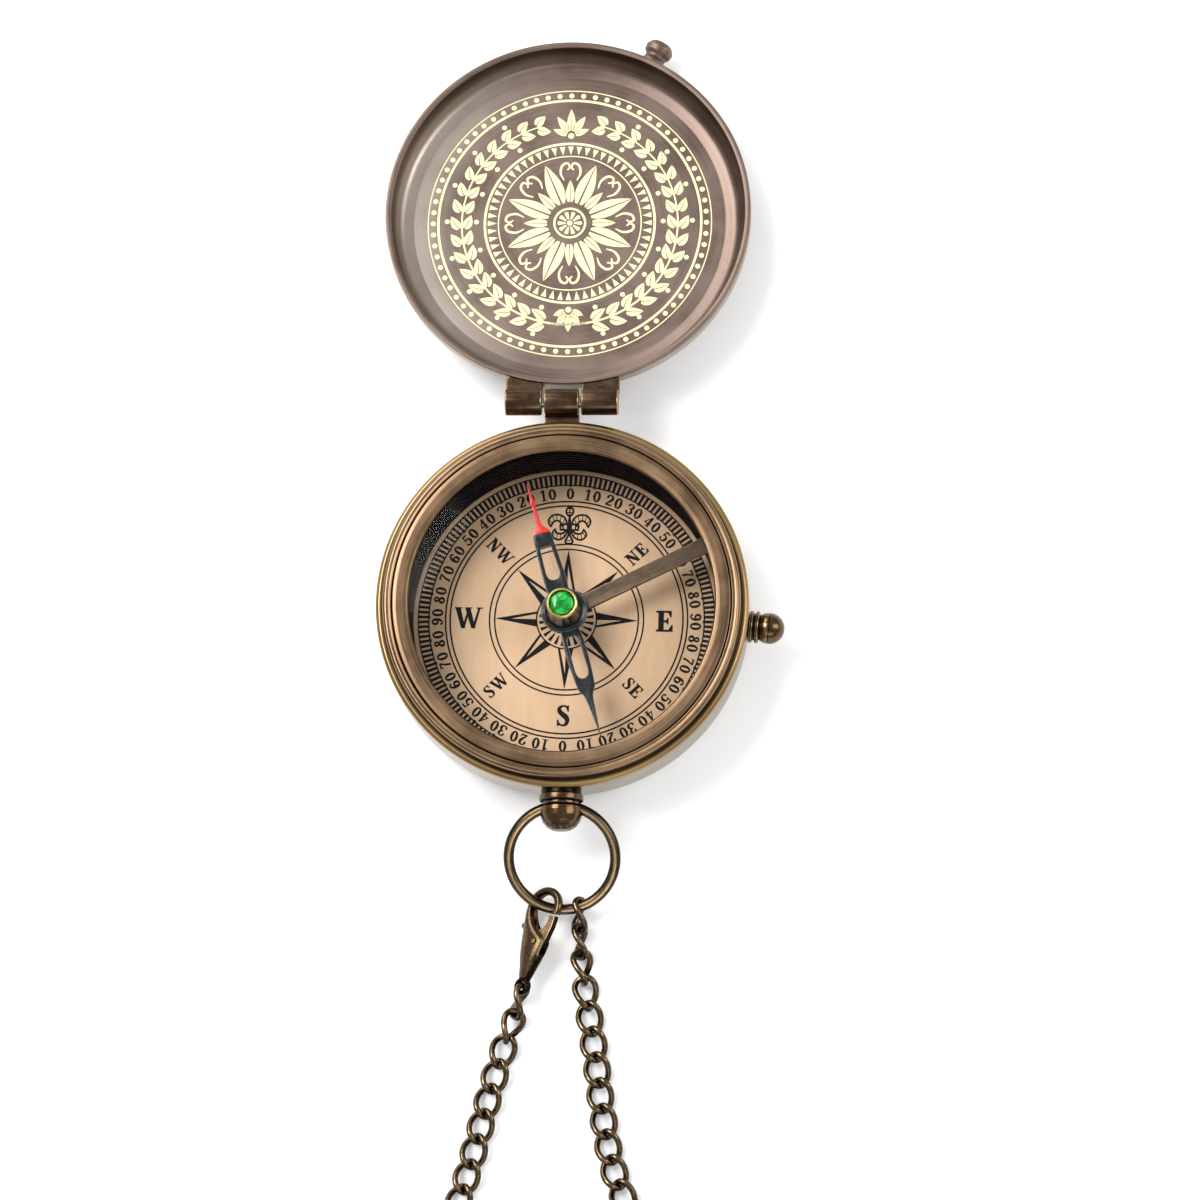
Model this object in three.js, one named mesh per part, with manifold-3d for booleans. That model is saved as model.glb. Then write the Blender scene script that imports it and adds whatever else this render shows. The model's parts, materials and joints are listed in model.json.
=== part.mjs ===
// Engraved pocket compass with a hinged lid, a bow ring, a lobster clasp and a
// curb chain.  Millimetres, +Z up.  The origin is the centre of the case's flat
// underside; +Y points to the hinge and the open lid, +X to the lock knob side.
import * as THREE from 'three';
import { mergeVertices } from 'three/addons/utils/BufferGeometryUtils.js';
import Module from 'manifold-3d';

const wasm = await Module();
wasm.setup();

// ---- driving dimensions -------------------------------------------------
const SEG = 48;                 // facets of the large turned parts
const CASE_R = 24.88;           // outer radius of the cup wall
const CASE_IN = 23.7;           // inner radius of the cup wall
const CASE_H = 10.2;            // top edge of the cup wall
const RIM_R = 25.0;             // widest radius, bezel band
const SHOULDER_Z = 11.6;        // lid seat on the bezel
const DIAL_Z = 1.2;             // face of the dial
const TOP_Z = 13.5;             // top of the crystal retainer
const LID_R = 24.85, LID_IN = 24.05, LID_T = 5.2, LID_DEPTH = 4.4;
const MOUTH_Z = 11.85;          // lid mouth when closed
const HINGE_Y = 27.8, HINGE_Z = 11.0, BARREL_R = 1.8, HINGE_PIN_R = 0.75;
const OPEN = (180 + 5.7) * Math.PI / 180;   // lid angle as placed, from closed
const KNOB_ANG = -5.6 * Math.PI / 180, KNOB_Z = 7.6;
const LEVER_ANG = 26 * Math.PI / 180;
const STUD_ANG = -63.6 * Math.PI / 180;     // thumb peg, on the closed lid
const BOW = { y: -27.26, z: 8.4, r: 7.13, wire: 0.72, arm: 6.85, droop: 24.3 * Math.PI / 180 };
const NEEDLE_DEG = 106.5;
const LINK_W = 3.5, LINK_H = 2.0;           // envelope of the chain's links

// ---- helpers ------------------------------------------------------------
const V2 = (x, y) => new THREE.Vector2(x, y);
const V3 = (x, y, z) => new THREE.Vector3(x, y, z);

function tidy(geo) {
  // position only, shared vertices merged, faces turned outward
  let g = geo.index ? geo.toNonIndexed() : geo.clone();
  for (const k of Object.keys(g.attributes)) if (k !== 'position') g.deleteAttribute(k);
  g = mergeVertices(g, 1e-4);
  const p = g.attributes.position, ix = g.index.array, out = [];
  let vol = 0;
  const a = V3(), b = V3(), c = V3();
  for (let i = 0; i < ix.length; i += 3) {
    const [i0, i1, i2] = [ix[i], ix[i + 1], ix[i + 2]];
    if (i0 === i1 || i1 === i2 || i0 === i2) continue;
    a.fromBufferAttribute(p, i0); b.fromBufferAttribute(p, i1); c.fromBufferAttribute(p, i2);
    vol += a.dot(b.clone().cross(c)) / 6;
    out.push(i0, i1, i2);
  }
  if (vol < 0) for (let i = 0; i < out.length; i += 3) [out[i], out[i + 1]] = [out[i + 1], out[i]];
  g.setIndex(out);
  return g;
}
function toSolid(geo) {
  const g = tidy(geo);
  return new wasm.Manifold(new wasm.Mesh({
    numProp: 3,
    vertProperties: new Float32Array(g.attributes.position.array),
    triVerts: new Uint32Array(g.index.array),
  }));
}
function toGeo(solid) {
  const m = solid.getMesh();
  const g = new THREE.BufferGeometry();
  g.setAttribute('position', new THREE.BufferAttribute(new Float32Array(m.vertProperties), 3));
  g.setIndex(new THREE.BufferAttribute(new Uint32Array(m.triVerts), 1));
  return g;
}
const cut = (a, ...tools) => toGeo(tools.reduce((s, t) => s.subtract(toSolid(t)), toSolid(a)));
const join = (a, ...more) => toGeo(more.reduce((s, t) => s.add(toSolid(t)), toSolid(a)));

// turned part about +Z from a profile of [radius, height]
function turned(profile, seg = SEG, close = false) {
  const pts = profile.map(([r, z]) => V2(r, z));
  if (close) pts.push(pts[0].clone());
  return tidy(new THREE.LatheGeometry(pts, seg).rotateX(Math.PI / 2));
}
const ring = (profile, seg = SEG) => turned(profile, seg, true);
function arc(cx, cz, r, a0, a1, n) {
  const out = [];
  for (let i = 0; i <= n; i++) {
    const t = (a0 + (a1 - a0) * i / n) * Math.PI / 180;
    out.push([cx + r * Math.cos(t), cz + r * Math.sin(t)]);
  }
  return out;
}
// plate: outline in XY, from z0 up by h
function plate(outline, h, z0 = 0, holes = []) {
  const s = new THREE.Shape(outline.map(([x, y]) => V2(x, y)));
  for (const o of holes) s.holes.push(new THREE.Path(o.map(([x, y]) => V2(x, y))));
  return tidy(new THREE.ExtrudeGeometry(s, { depth: h, bevelEnabled: false }).translate(0, 0, z0));
}
const circle = (cx, cy, r, n) => Array.from({ length: n }, (_, i) =>
  [cx + r * Math.cos(2 * Math.PI * i / n), cy + r * Math.sin(2 * Math.PI * i / n)]);
// cylinder from point a to point b
function rod(a, b, r, n = 20) {
  const d = b.clone().sub(a), g = new THREE.CylinderGeometry(r, r, d.length(), n);
  const q = new THREE.Quaternion().setFromUnitVectors(V3(0, 1, 0), d.clone().normalize());
  return g.applyQuaternion(q).translate((a.x + b.x) / 2, (a.y + b.y) / 2, (a.z + b.z) / 2);
}
const box = (x0, x1, y0, y1, z0, z1) => new THREE.BoxGeometry(x1 - x0, y1 - y0, z1 - z0)
  .translate((x0 + x1) / 2, (y0 + y1) / 2, (z0 + z1) / 2);
// turned about a radial line: profile of [radius, distance from the case axis]
function radialTurned(profile, ang, z, seg = 28) {
  return turned(profile, seg).applyMatrix4(new THREE.Matrix4().makeBasis(
    V3(0, 0, 1), V3(-Math.sin(ang), Math.cos(ang), 0).multiplyScalar(-1), V3(Math.cos(ang), Math.sin(ang), 0))
    .setPosition(0, 0, z));
}

const mat = (color, roughness, metalness, extra = {}) =>
  new THREE.MeshStandardMaterial({ color, roughness, metalness, ...extra });
const BRONZE = mat(0x7d6549, 0.38, 0.9);
const BRONZE_DARK = mat(0x4a3828, 0.45, 0.9);
const BRASS = mat(0xc9a24e, 0.3, 1.0);
const STEEL = mat(0x9a9a9a, 0.3, 1.0);
const COPPER_DIAL = mat(0xdcb494, 0.35, 0.6);
const BLACK = mat(0x111316, 0.25, 0.4);
const NEEDLE_RED = mat(0xd81e1e, 0.3, 0.1);
const GLASS = mat(0xe8f2f2, 0.05, 0.0, { transparent: true, opacity: 0.2 });
const GREEN = mat(0x0fa53a, 0.1, 0.0);

const group = new THREE.Group();
function add(name, geo, material, parent = group) {
  const m = new THREE.Mesh(tidy(geo), material);
  m.name = name;
  parent.add(m);
  return m;
}

// ---- case ---------------------------------------------------------------
{
  const cup = turned([
    [0, 0], ...arc(20.38, 4.5, 4.5, -90, 0, 5),
    [CASE_R, CASE_H], [CASE_IN, CASE_H],
    ...arc(20.1, 4.3, 3.6, 0, -90, 4), [0, 0.7]]);
  add('case_shell', cut(cup, radialTurned([[0, 22.6], [1.0, 22.6], [1.0, 26], [0, 26]], KNOB_ANG, KNOB_Z, 16)), BRONZE);
}
add('bezel_ring', ring([
  [22.8, 8.9], [23.55, 8.9], [23.55, 10.3], [24.9, 10.3], [RIM_R, 10.45],
  [RIM_R, 11.4], [24.8, SHOULDER_Z], [23.98, SHOULDER_Z], [23.92, 13.2],
  [23.7, 13.4], [22.8, 13.4]]), BRONZE);
add('crystal_retainer', ring([
  [20.5, 13.0], [22.65, 13.0], [22.65, TOP_Z], [20.75, TOP_Z], [20.5, 13.3]]), BRONZE);
add('crystal', turned([[0, 12.2], [22.55, 12.2], [22.55, 12.9], [0, 12.9]]), GLASS);
// dark inner wall, flanged at the top under the glass, with the lever's window
{
  const wall = ring([[20.75, 1.3], [21.4, 1.3], [21.4, 11.5], [22.65, 11.5], [22.65, 12.1], [20.75, 12.1]]);
  const w = 4.6 * Math.PI / 180;
  const wedge = [];
  for (const [r, t] of [[20, -w], [22, -w], [22, w], [20, w]])
    wedge.push([r * Math.cos(LEVER_ANG + t), r * Math.sin(LEVER_ANG + t)]);
  add('spacer_ring', cut(wall, plate(wedge, 3.0, 4.6)), BRONZE_DARK);
}
add('dial_plate', ring([[1.45, 0.86], [20.7, 0.86], [20.7, DIAL_Z], [1.45, DIAL_Z]]), COPPER_DIAL);

// ---- pivot --------------------------------------------------------------
add('pivot_base', turned([[0, 0.78], [1.3, 0.78], [1.3, 1.9], [0.85, 2.2], [0.85, 4.9],
  [0.44, 4.9], [0.44, 3.0], [0, 3.0]], 14), BRASS);
add('pivot_pin', turned([[0, 3.08], [0.36, 3.08], [0.36, 9.0], [0.07, 10.4], [0, 10.45]], 10), STEEL);

// ---- needle, made along +X then turned to its resting bearing ------------
const needle = new THREE.Group();
needle.rotation.z = NEEDLE_DEG * Math.PI / 180;
group.add(needle);
{
  // half outline of the north arm, then the south arm: [along, half width]
  const north = [[2.9, 1.45], [3.8, 1.52], [6.0, 1.5], [9.2, 1.35], [10.8, 1.26], [11.5, 1.05],
    [12.2, 0.55], [13.0, 0.42], [15.2, 0.36], [16.2, 0.3], [17.4, 0.24], [18.3, 0.2]];
  const south = [[2.9, 1.25], [3.8, 1.42], [7.2, 1.46], [10.6, 1.24], [11.4, 0.98],
    [12.1, 0.62], [13.4, 0.42], [16.0, 0.2], [17.9, 0.06]];
  const outline = north.map(([x, y]) => [x, -y]);      // north arm, hub to tip
  const tipUp = north.slice().reverse();               // and back on its other side
  const hubUp = arc(0, 0, 3.15, 32, 148, 8);
  const s1 = south.map(([x, y]) => [-x, y]);
  const s2 = south.map(([x, y]) => [-x, -y]).reverse();
  const hubDn = arc(0, 0, 3.15, 212, 328, 8);
  const shape = [...outline, ...tipUp, ...hubUp, ...s1, ...s2, ...hubDn];
  const slotN = [[4.7, -0.62], [5.1, -0.88], [5.6, -0.92], [9.2, -0.72], [9.2, 0.72], [5.6, 0.92], [5.1, 0.88], [4.7, 0.62]];
  const slotS = [[-3.8, 0.6], [-4.2, 0.78], [-8.8, 0.82], [-9.4, 0.62], [-9.6, 0.25], [-9.6, -0.25], [-9.4, -0.62], [-8.8, -0.82], [-4.2, -0.78], [-3.8, -0.6]];
  add('needle_blade', plate(shape, 0.28, 6.35, [circle(0, 0, 1.75, 16), slotN, slotS]), BLACK, needle);
}
add('needle_cap', turned([[0, 10.85], [1.95, 10.85], [2.0, 10.6], [2.5, 7.25], [3.05, 7.05], [3.05, 6.72],
  [1.6, 6.72], [1.5, 7.2], [0.85, 10.2], [0, 10.6]], 20), BLACK, needle);
add('jewel_collar', ring([[1.74, 10.92], [2.1, 10.92], [2.12, 11.6], [2.0, 11.75], [1.8, 11.75], [1.74, 11.62]], 20), BRASS, needle);
add('jewel', turned([[0, 10.92], [1.68, 10.92], [1.68, 11.4], [1.2, 11.72], [0.7, 11.85], [0, 11.88]], 16), GREEN, needle);

// ---- lock: lifter ring with its lever, bracket, pin ------------------------
const PIVOT_ANG = KNOB_ANG + Math.PI;       // the ring hinges opposite the knob
const LIFT = { z0: 5.5, z1: 5.9, rin: 22.15, rout: 23.1, axisZ: 5.7, axisR: 22.65 };
{
  const ringBand = ring([[LIFT.rin, LIFT.z0], [LIFT.rout, LIFT.z0], [LIFT.rout, LIFT.z1], [LIFT.rin, LIFT.z1]]);
  const ca = Math.cos(LEVER_ANG), sa = Math.sin(LEVER_ANG);
  const P = (r, t) => [r * ca - t * sa, r * sa + t * ca];
  // strip with a notch round the pivot at its inner end
  const strip = plate([P(22.5, -1.1), P(22.5, 1.1), P(0.9, 1.1), P(1.0, 0.75), P(1.55, 0), P(1.0, -0.75), P(0.9, -1.1)], LIFT.z1 - LIFT.z0, LIFT.z0);
  const n = V3(Math.cos(PIVOT_ANG), Math.sin(PIVOT_ANG), 0);
  const t = V3(-Math.sin(PIVOT_ANG), Math.cos(PIVOT_ANG), 0);
  const c = n.clone().multiplyScalar(LIFT.axisR).setZ(LIFT.axisZ);
  const at = (d) => c.clone().addScaledVector(t, d);
  const basis = new THREE.Matrix4().makeBasis(n, t, V3(0, 0, 1));
  const bx = (...v) => box(...v).applyMatrix4(basis);
  // the ring is open at its hinge: an eye on each end, a lug between them
  add('lock_lifter', toGeo(toSolid(ringBand).subtract(toSolid(bx(21, 24, -0.9, 0.9, 5, 6.5)))
    .add(toSolid(strip)).add(toSolid(rod(at(-2.3), at(-0.9), 0.55, 14))).add(toSolid(rod(at(0.9), at(2.3), 0.55, 14)))
    .subtract(toSolid(rod(at(-3), at(3), 0.32, 12)))), BRONZE);
  add('lifter_bracket', toGeo(toSolid(bx(21.5, 21.8, -2.0, 2.0, 4.2, 7.6))
    .add(toSolid(bx(21.7, 23.25, -0.62, 0.62, 4.9, 6.45)))
    .subtract(toSolid(rod(at(-3), at(3), 0.32, 12)))), BRASS);
  add('lifter_pin', rod(at(-2.3), at(2.3), 0.25, 12), STEEL);
}

// ---- lock knob ------------------------------------------------------------
add('knob_bush', radialTurned([[1.02, 25.0], [1.9, 25.0], [2.15, 25.15], [2.15, 25.5], [1.85, 25.62], [1.85, 25.8],
  [2.15, 25.92], [2.15, 26.25], [1.95, 26.4], [1.02, 26.4], [1.02, 25.0]], KNOB_ANG, KNOB_Z, 18), BRONZE_DARK);
{
  const stem = radialTurned([[0, 21.6], [0.6, 21.6], [0.6, 23.3], [0.85, 23.3], [0.85, 26.55], [0.55, 26.55], [0.55, 27.6], [0, 27.6]], KNOB_ANG, KNOB_Z, 12);
  const n = V3(Math.cos(KNOB_ANG), Math.sin(KNOB_ANG), 0), t = V3(-n.y, n.x, 0);
  const basis = new THREE.Matrix4().makeBasis(n, t, V3(0, 0, 1));
  const web = box(21.6, 21.88, -0.4, 0.4, 4.97, KNOB_Z).applyMatrix4(basis);
  const pin = rod(n.clone().multiplyScalar(21.7).setZ(5.17), n.clone().multiplyScalar(22.95).setZ(5.17), 0.2, 12);
  add('knob_stem', join(stem, web, pin), STEEL);
  const ball = new THREE.SphereGeometry(2.1, 16, 10).applyMatrix4(basis.clone().setPosition(n.x * 27.7, n.y * 27.7, KNOB_Z));
  const trim = box(20, 26.62, -4, 4, 2, 12).applyMatrix4(basis);
  add('knob_ball', cut(ball, trim, radialTurned([[0, 26], [0.62, 26], [0.62, 27.7], [0, 27.7]], KNOB_ANG, KNOB_Z, 12)), BRONZE);
}

// ---- hinge ------------------------------------------------------------------
const KN = { left: [-7.95, -3.0], mid: [-2.66, 1.99], right: [2.31, 7.3] };
const axisRod = (x0, x1, r, n = 20) => rod(V3(x0, HINGE_Y, HINGE_Z), V3(x1, HINGE_Y, HINGE_Z), r, n);
const disc = (r, z0, z1) => new THREE.CylinderGeometry(r, r, z1 - z0, SEG).rotateX(Math.PI / 2).translate(0, 0, (z0 + z1) / 2);
{
  const [x0, x1] = KN.mid;
  const leaf = toSolid(box(x0, x1, 25.0, HINGE_Y, 9.25, 10.1)).add(toSolid(box(x0, x1, 24.2, 25.8, 6.6, 10.1)))
    .subtract(toSolid(disc(25.02, 5, 10.25)));
  add('hinge_knuckle_case', toGeo(leaf.add(toSolid(axisRod(x0, x1, BARREL_R))).subtract(toSolid(axisRod(-9, 9, 0.85, 14)))), BRONZE);
}
add('hinge_pin', axisRod(-7.9, 6.95, HINGE_PIN_R, 14), STEEL);

// ---- lid, modelled closed and swung open about the hinge ---------------------
const lid = new THREE.Group();
lid.position.set(0, HINGE_Y, HINGE_Z);
lid.rotation.x = -OPEN;
const lidIn = new THREE.Group();
lidIn.position.set(0, -HINGE_Y, -HINGE_Z);
lid.add(lidIn);
group.add(lid);
{
  const zt = MOUTH_Z + LID_T, zi = MOUTH_Z + LID_DEPTH;
  add('lid_shell', turned([[0, zi], ...arc(LID_IN - 2.2, zi - 2.2, 2.2, 90, 0, 4), [LID_IN, MOUTH_Z],
    [LID_R, MOUTH_Z], ...arc(LID_R - 3, zt - 3, 3, 0, 90, 5), [0, zt]]), BRONZE, lidIn);
  for (const [name, [x0, x1]] of [['hinge_knuckle_left', KN.left], ['hinge_knuckle_right', KN.right]]) {
    const leaf = toSolid(box(x0, x1, 24.0, HINGE_Y, 11.9, 12.75)).add(toSolid(box(x0, x1, 22.5, 25.75, 11.9, 14.3)))
      .subtract(toSolid(disc(24.99, 11, 16)));
    const bore = axisRod(-9, name.endsWith('left') ? 9 : 7.0, 0.85, 14);
    add(name, toGeo(leaf.add(toSolid(axisRod(x0, x1, BARREL_R))).subtract(toSolid(bore))), BRONZE, lidIn);
  }
  add('lid_stud', radialTurned([[0, 25.0], [1.7, 25.0], [1.45, 25.5], [1.45, 26.0], [1.85, 26.45], [1.95, 27.3], [1.5, 27.95], [0, 28.15]],
    STUD_ANG, MOUTH_Z + 1.9, 16), BRONZE, lidIn);
}

// ---- pendant and bow -----------------------------------------------------------
{
  const down = -Math.PI / 2;
  // two rings of a collar, then a bulb with a flat top; the bow's hole passes where they meet
  const bore = () => rod(V3(-4, BOW.y, BOW.z), V3(4, BOW.y, BOW.z), 1.15, 14);
  add('pendant_collar', cut(radialTurned([[0, 25.0], [2.7, 25.0], [2.75, 25.6], [2.95, 25.68], [2.95, 26.38], [2.7, 26.48], [2.55, 26.56],
    [2.62, 26.68], [2.6, 27.0], [0, 27.0]], down, BOW.z, 20), bore()), BRONZE_DARK);
  add('pendant_ball', cut(radialTurned([[0, 27.08], [2.5, 27.08], [2.78, 27.3], [2.83, 27.8], [2.76, 28.5], [2.45, 29.3], [1.95, 29.9],
    [1.2, 30.33], [0, 30.49]], down, BOW.z, 20), bore()), BRONZE);
}
const bowDir = V3(0, -Math.cos(BOW.droop), -Math.sin(BOW.droop));
const bowC = V3(0, BOW.y, BOW.z).addScaledVector(bowDir, BOW.arm);
{
  const torus = new THREE.TorusGeometry(BOW.r, BOW.wire, 8, 40);
  const up = V3(1, 0, 0).cross(bowDir);
  add('bow_ring', torus.applyMatrix4(new THREE.Matrix4().makeBasis(V3(1, 0, 0), bowDir, up).setPosition(bowC)), BRONZE);
}

// ---- lobster clasp, hooked round the bow ------------------------------------------
// local frame: l from the hook to the tail, v to the mouth side, w through the thickness
{
  const a0 = -18.5 * Math.PI / 180;
  const hook = bowC.clone().addScaledVector(V3(1, 0, 0), BOW.r * Math.sin(a0)).addScaledVector(bowDir, BOW.r * Math.cos(a0));
  const L = V3(-0.272, -0.962, -0.02).normalize();
  const A = V3(0, 0, 1).cross(L).normalize(), B = L.clone().cross(A).negate();
  if (B.z < 0) B.negate();
  const roll = 36 * Math.PI / 180;
  const V = A.clone().multiplyScalar(Math.cos(roll)).addScaledVector(B, Math.sin(roll));
  const W = L.clone().cross(V);
  const M = new THREE.Matrix4().makeBasis(L, V, W).setPosition(hook);
  const RO = 2.75, RI = 1.62;
  const hk = (R, a) => [-R * Math.sin(a * Math.PI / 180), R * Math.cos(a * Math.PI / 180)];
  const sweep = (R, from, to, n) => Array.from({ length: n + 1 }, (_, i) => hk(R, from + (to - from) * i / n));
  const outline = [...sweep(RO, -18, 180, 11), [1.5, -2.65], [3.2, -2.48], [5.0, -2.25], [7.0, -1.75], [8.8, -1.2], [10.2, -0.95],
    ...Array.from({ length: 9 }, (_, i) => { const t = (-125 + 250 * i / 8) * Math.PI / 180; return [11.1 + 1.2 * Math.cos(t), 1.2 * Math.sin(t)]; }),
    [9.6, 0.95], [8.4, 1.3], [7.2, 1.65], [5.8, 2.0], [4.6, 2.2], [4.1, 1.5], [3.3, 0.4], [2.4, -0.6], [1.3, -1.25],
    ...sweep(RI, 180, -18, 9)];
  const eye = circle(11.15, 0, 0.62, 8);
  const thin = toSolid(plate(outline, 1.1, -0.55, [eye]));
  const thick = toSolid(plate(outline, 2.3, -1.15, [eye])).intersect(toSolid(box(0.75, 9.6, -3, 3, -1.15, 1.15)));
  const slot = toSolid(box(1.7, 6.5, -3.4, 3, -0.62, 0.62));
  const rivetHole = toSolid(rod(V3(5.0, 0.6, -2), V3(5.0, 0.6, 2), 0.42, 8));
  add('clasp_body', toGeo(thin.add(thick).subtract(slot).subtract(rivetHole)).applyMatrix4(M), BRONZE_DARK);
  add('clasp_trigger', plate([[1.05, 2.4], [2.5, 2.35], [4.2, 2.0], [5.5, 1.5], [6.0, 0.6], [5.6, -0.2], [4.6, -0.6],
    [4.0, -1.3], [3.6, -2.2], [3.3, -2.95], [2.7, -2.95], [2.75, -2.1], [3.2, -1.0], [3.35, 0.0], [3.0, 0.9], [2.0, 1.3], [1.1, 1.4]],
    0.9, -0.45, [circle(5.0, 0.6, 0.46, 8)]).applyMatrix4(M), BRONZE_DARK);
  add('clasp_rivet', rod(V3(5.0, 0.6, -1.2), V3(5.0, 0.6, 1.2), 0.34, 8).applyMatrix4(M), BRASS);
}

// ---- chain: the route of its middle line, from the clasp's eye, along the table,
// 1.6 turns of coil, and back up to the bow ---------------------------------------
const ROUTE = [
  [-5.29, -50.39, 2.58], [-6.11, -53.66, 1.58], [-7.19, -56.64, 1.14], [-8.18, -59.68, 1.06], [-9.09, -62.75, 1.06], [-9.93, -65.84, 1.06],
  [-10.73, -68.94, 1.06], [-11.53, -72.04, 1.06], [-12.35, -75.13, 1.08], [-13.25, -78.21, 1.09], [-14.22, -81.26, 1.09], [-15.22, -84.30, 1.09],
  [-16.22, -87.34, 1.09], [-17.18, -90.40, 1.08], [-18.04, -93.48, 1.07], [-18.77, -96.60, 1.06], [-19.31, -99.75, 1.06], [-19.61, -102.94, 1.06],
  [-19.62, -106.14, 1.06], [-19.29, -109.32, 1.06], [-18.61, -112.45, 1.06], [-17.53, -115.46, 1.06], [-16.02, -118.28, 1.06], [-14.08, -120.82, 1.06],
  [-11.78, -123.04, 1.06], [-9.19, -124.92, 1.06], [-6.36, -126.42, 1.06], [-3.36, -127.53, 1.06], [-0.24, -128.21, 1.06], [2.96, -128.42, 1.06],
  [6.14, -128.15, 1.06], [9.25, -127.40, 1.06], [12.22, -126.21, 1.06], [15.00, -124.62, 1.06], [17.53, -122.66, 1.06], [19.75, -120.37, 1.06],
  [21.61, -117.76, 1.06], [23.02, -114.89, 1.06], [23.97, -111.84, 1.06], [24.46, -108.68, 1.06], [24.50, -105.48, 1.06], [24.09, -102.31, 1.06],
  [23.22, -99.23, 1.06], [21.89, -96.32, 1.06], [20.11, -93.67, 1.06], [17.91, -91.34, 1.06], [15.39, -89.38, 1.06], [12.60, -87.80, 1.06],
  [9.62, -86.65, 1.06], [6.49, -85.96, 1.06], [3.30, -85.77, 1.06], [0.12, -86.11, 1.06], [-2.97, -86.95, 1.06], [-5.88, -88.26, 1.06],
  [-8.56, -90.01, 1.06], [-10.92, -92.17, 1.06], [-12.89, -94.69, 1.06], [-14.41, -97.50, 1.06], [-15.48, -100.51, 1.06], [-16.08, -103.66, 1.06],
  [-16.18, -106.85, 1.06], [-15.75, -110.02, 1.06], [-14.77, -113.07, 1.06], [-13.28, -115.89, 1.06], [-11.34, -118.44, 1.06], [-9.03, -120.65, 1.06],
  [-6.40, -122.46, 1.06], [-3.50, -123.81, 1.06], [-0.41, -124.62, 1.06], [2.78, -124.85, 1.06], [5.97, -124.53, 1.06], [9.05, -123.69, 1.06],
  [11.96, -122.36, 1.06], [14.60, -120.56, 1.06], [16.87, -118.31, 1.06], [18.69, -115.67, 1.06], [19.99, -112.75, 1.06], [20.76, -109.65, 1.06],
  [20.96, -106.46, 1.06], [20.56, -103.29, 1.12], [19.66, -100.22, 1.87], [18.44, -97.26, 2.81], [17.01, -94.39, 3.14], [15.46, -91.60, 3.14],
  [13.83, -88.84, 3.14], [12.20, -86.08, 3.14], [10.63, -83.29, 2.81], [9.17, -80.44, 1.87], [7.91, -77.50, 1.11], [6.92, -74.46, 1.06],
  [6.18, -71.35, 1.06], [5.62, -68.19, 1.06], [5.16, -65.02, 1.06], [4.75, -61.85, 1.06], [4.30, -58.68, 1.06], [3.81, -55.52, 1.06],
  [3.31, -52.35, 1.06], [2.84, -49.19, 1.11], [2.47, -46.02, 1.33], [2.24, -42.85, 1.71], [2.19, -39.70, 2.30]
].map((p) => V3(...p));
const COIL = { x: 3.3, y: -106.2, r0: 15.5, r1: 25.3, z0: 0.05, z1: 2.25 };
{
  const section = (w, h) => new THREE.Shape([0, 1, 2, 3, 4, 5, 6, 7].map((i) => {
    const t = (22.5 + 45 * i) * Math.PI / 180, k = 1 / Math.cos(Math.PI / 8);
    return V2(Math.cos(t) * k * w / 2, Math.sin(t) * k * h / 2);
  }));
  // each strand is trimmed against the coil's outer edge
  const trim = new THREE.CylinderGeometry(COIL.r1 + 0.25, COIL.r1 + 0.25, 12, 48).rotateX(Math.PI / 2).translate(COIL.x, COIL.y, 0);
  const out = (p) => Math.hypot(p.x - COIL.x, p.y - COIL.y) > COIL.r1 + 0.25;
  const first = ROUTE.findIndex((p) => !out(p));
  const last = ROUTE.length - 1 - [...ROUTE].reverse().findIndex((p) => !out(p));
  const tube = (pts, shape, steps) => cut(new THREE.ExtrudeGeometry(shape, { steps, bevelEnabled: false, extrudePath: new THREE.CatmullRomCurve3(pts) }), trim);
  add('chain_left', tube(ROUTE.slice(1, first + 1), section(LINK_H, LINK_W), 10), BRONZE_DARK);
  add('chain_right', tube(ROUTE.slice(last, -1).reverse(), section(LINK_W, LINK_H), 12), BRONZE_DARK);
  add('chain_coil', ring([[COIL.r0, COIL.z0], [COIL.r1, COIL.z0], [COIL.r1, COIL.z1], [COIL.r0, COIL.z1]], 36).translate(COIL.x, COIL.y, 0), BRONZE_DARK);
}

export default group;
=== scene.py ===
"""Looks of an engraved pocket compass: an open hinged lid with a printed ornament,
a glazed copper dial with its needle and lock lever, a bow ring, a lobster clasp and
a curb chain.  Shapes are written in millimetres and scaled to metres at the end."""
import json
import math
import bpy
import bmesh
import numpy as np
from mathutils import Matrix, Vector, geometry

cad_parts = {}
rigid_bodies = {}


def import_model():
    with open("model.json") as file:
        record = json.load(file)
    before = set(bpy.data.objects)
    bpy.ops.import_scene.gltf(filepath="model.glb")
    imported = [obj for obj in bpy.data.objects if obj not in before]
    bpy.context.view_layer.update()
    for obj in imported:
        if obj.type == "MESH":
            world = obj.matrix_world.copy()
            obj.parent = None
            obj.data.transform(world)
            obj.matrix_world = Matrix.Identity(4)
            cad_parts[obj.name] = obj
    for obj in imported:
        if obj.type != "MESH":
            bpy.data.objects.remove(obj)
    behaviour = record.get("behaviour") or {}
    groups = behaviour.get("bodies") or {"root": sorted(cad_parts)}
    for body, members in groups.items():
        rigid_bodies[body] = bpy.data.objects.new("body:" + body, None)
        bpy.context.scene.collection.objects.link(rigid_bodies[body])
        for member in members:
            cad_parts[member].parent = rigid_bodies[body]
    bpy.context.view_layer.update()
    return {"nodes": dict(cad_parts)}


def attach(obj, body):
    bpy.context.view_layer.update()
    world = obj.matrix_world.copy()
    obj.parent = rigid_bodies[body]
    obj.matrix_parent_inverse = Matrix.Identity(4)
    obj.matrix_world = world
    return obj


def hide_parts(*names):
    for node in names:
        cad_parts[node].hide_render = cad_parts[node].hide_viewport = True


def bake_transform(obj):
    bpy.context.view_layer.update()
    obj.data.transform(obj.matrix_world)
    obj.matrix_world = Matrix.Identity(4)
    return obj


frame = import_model()
MM = 0.001
NODES = frame["nodes"]

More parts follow.
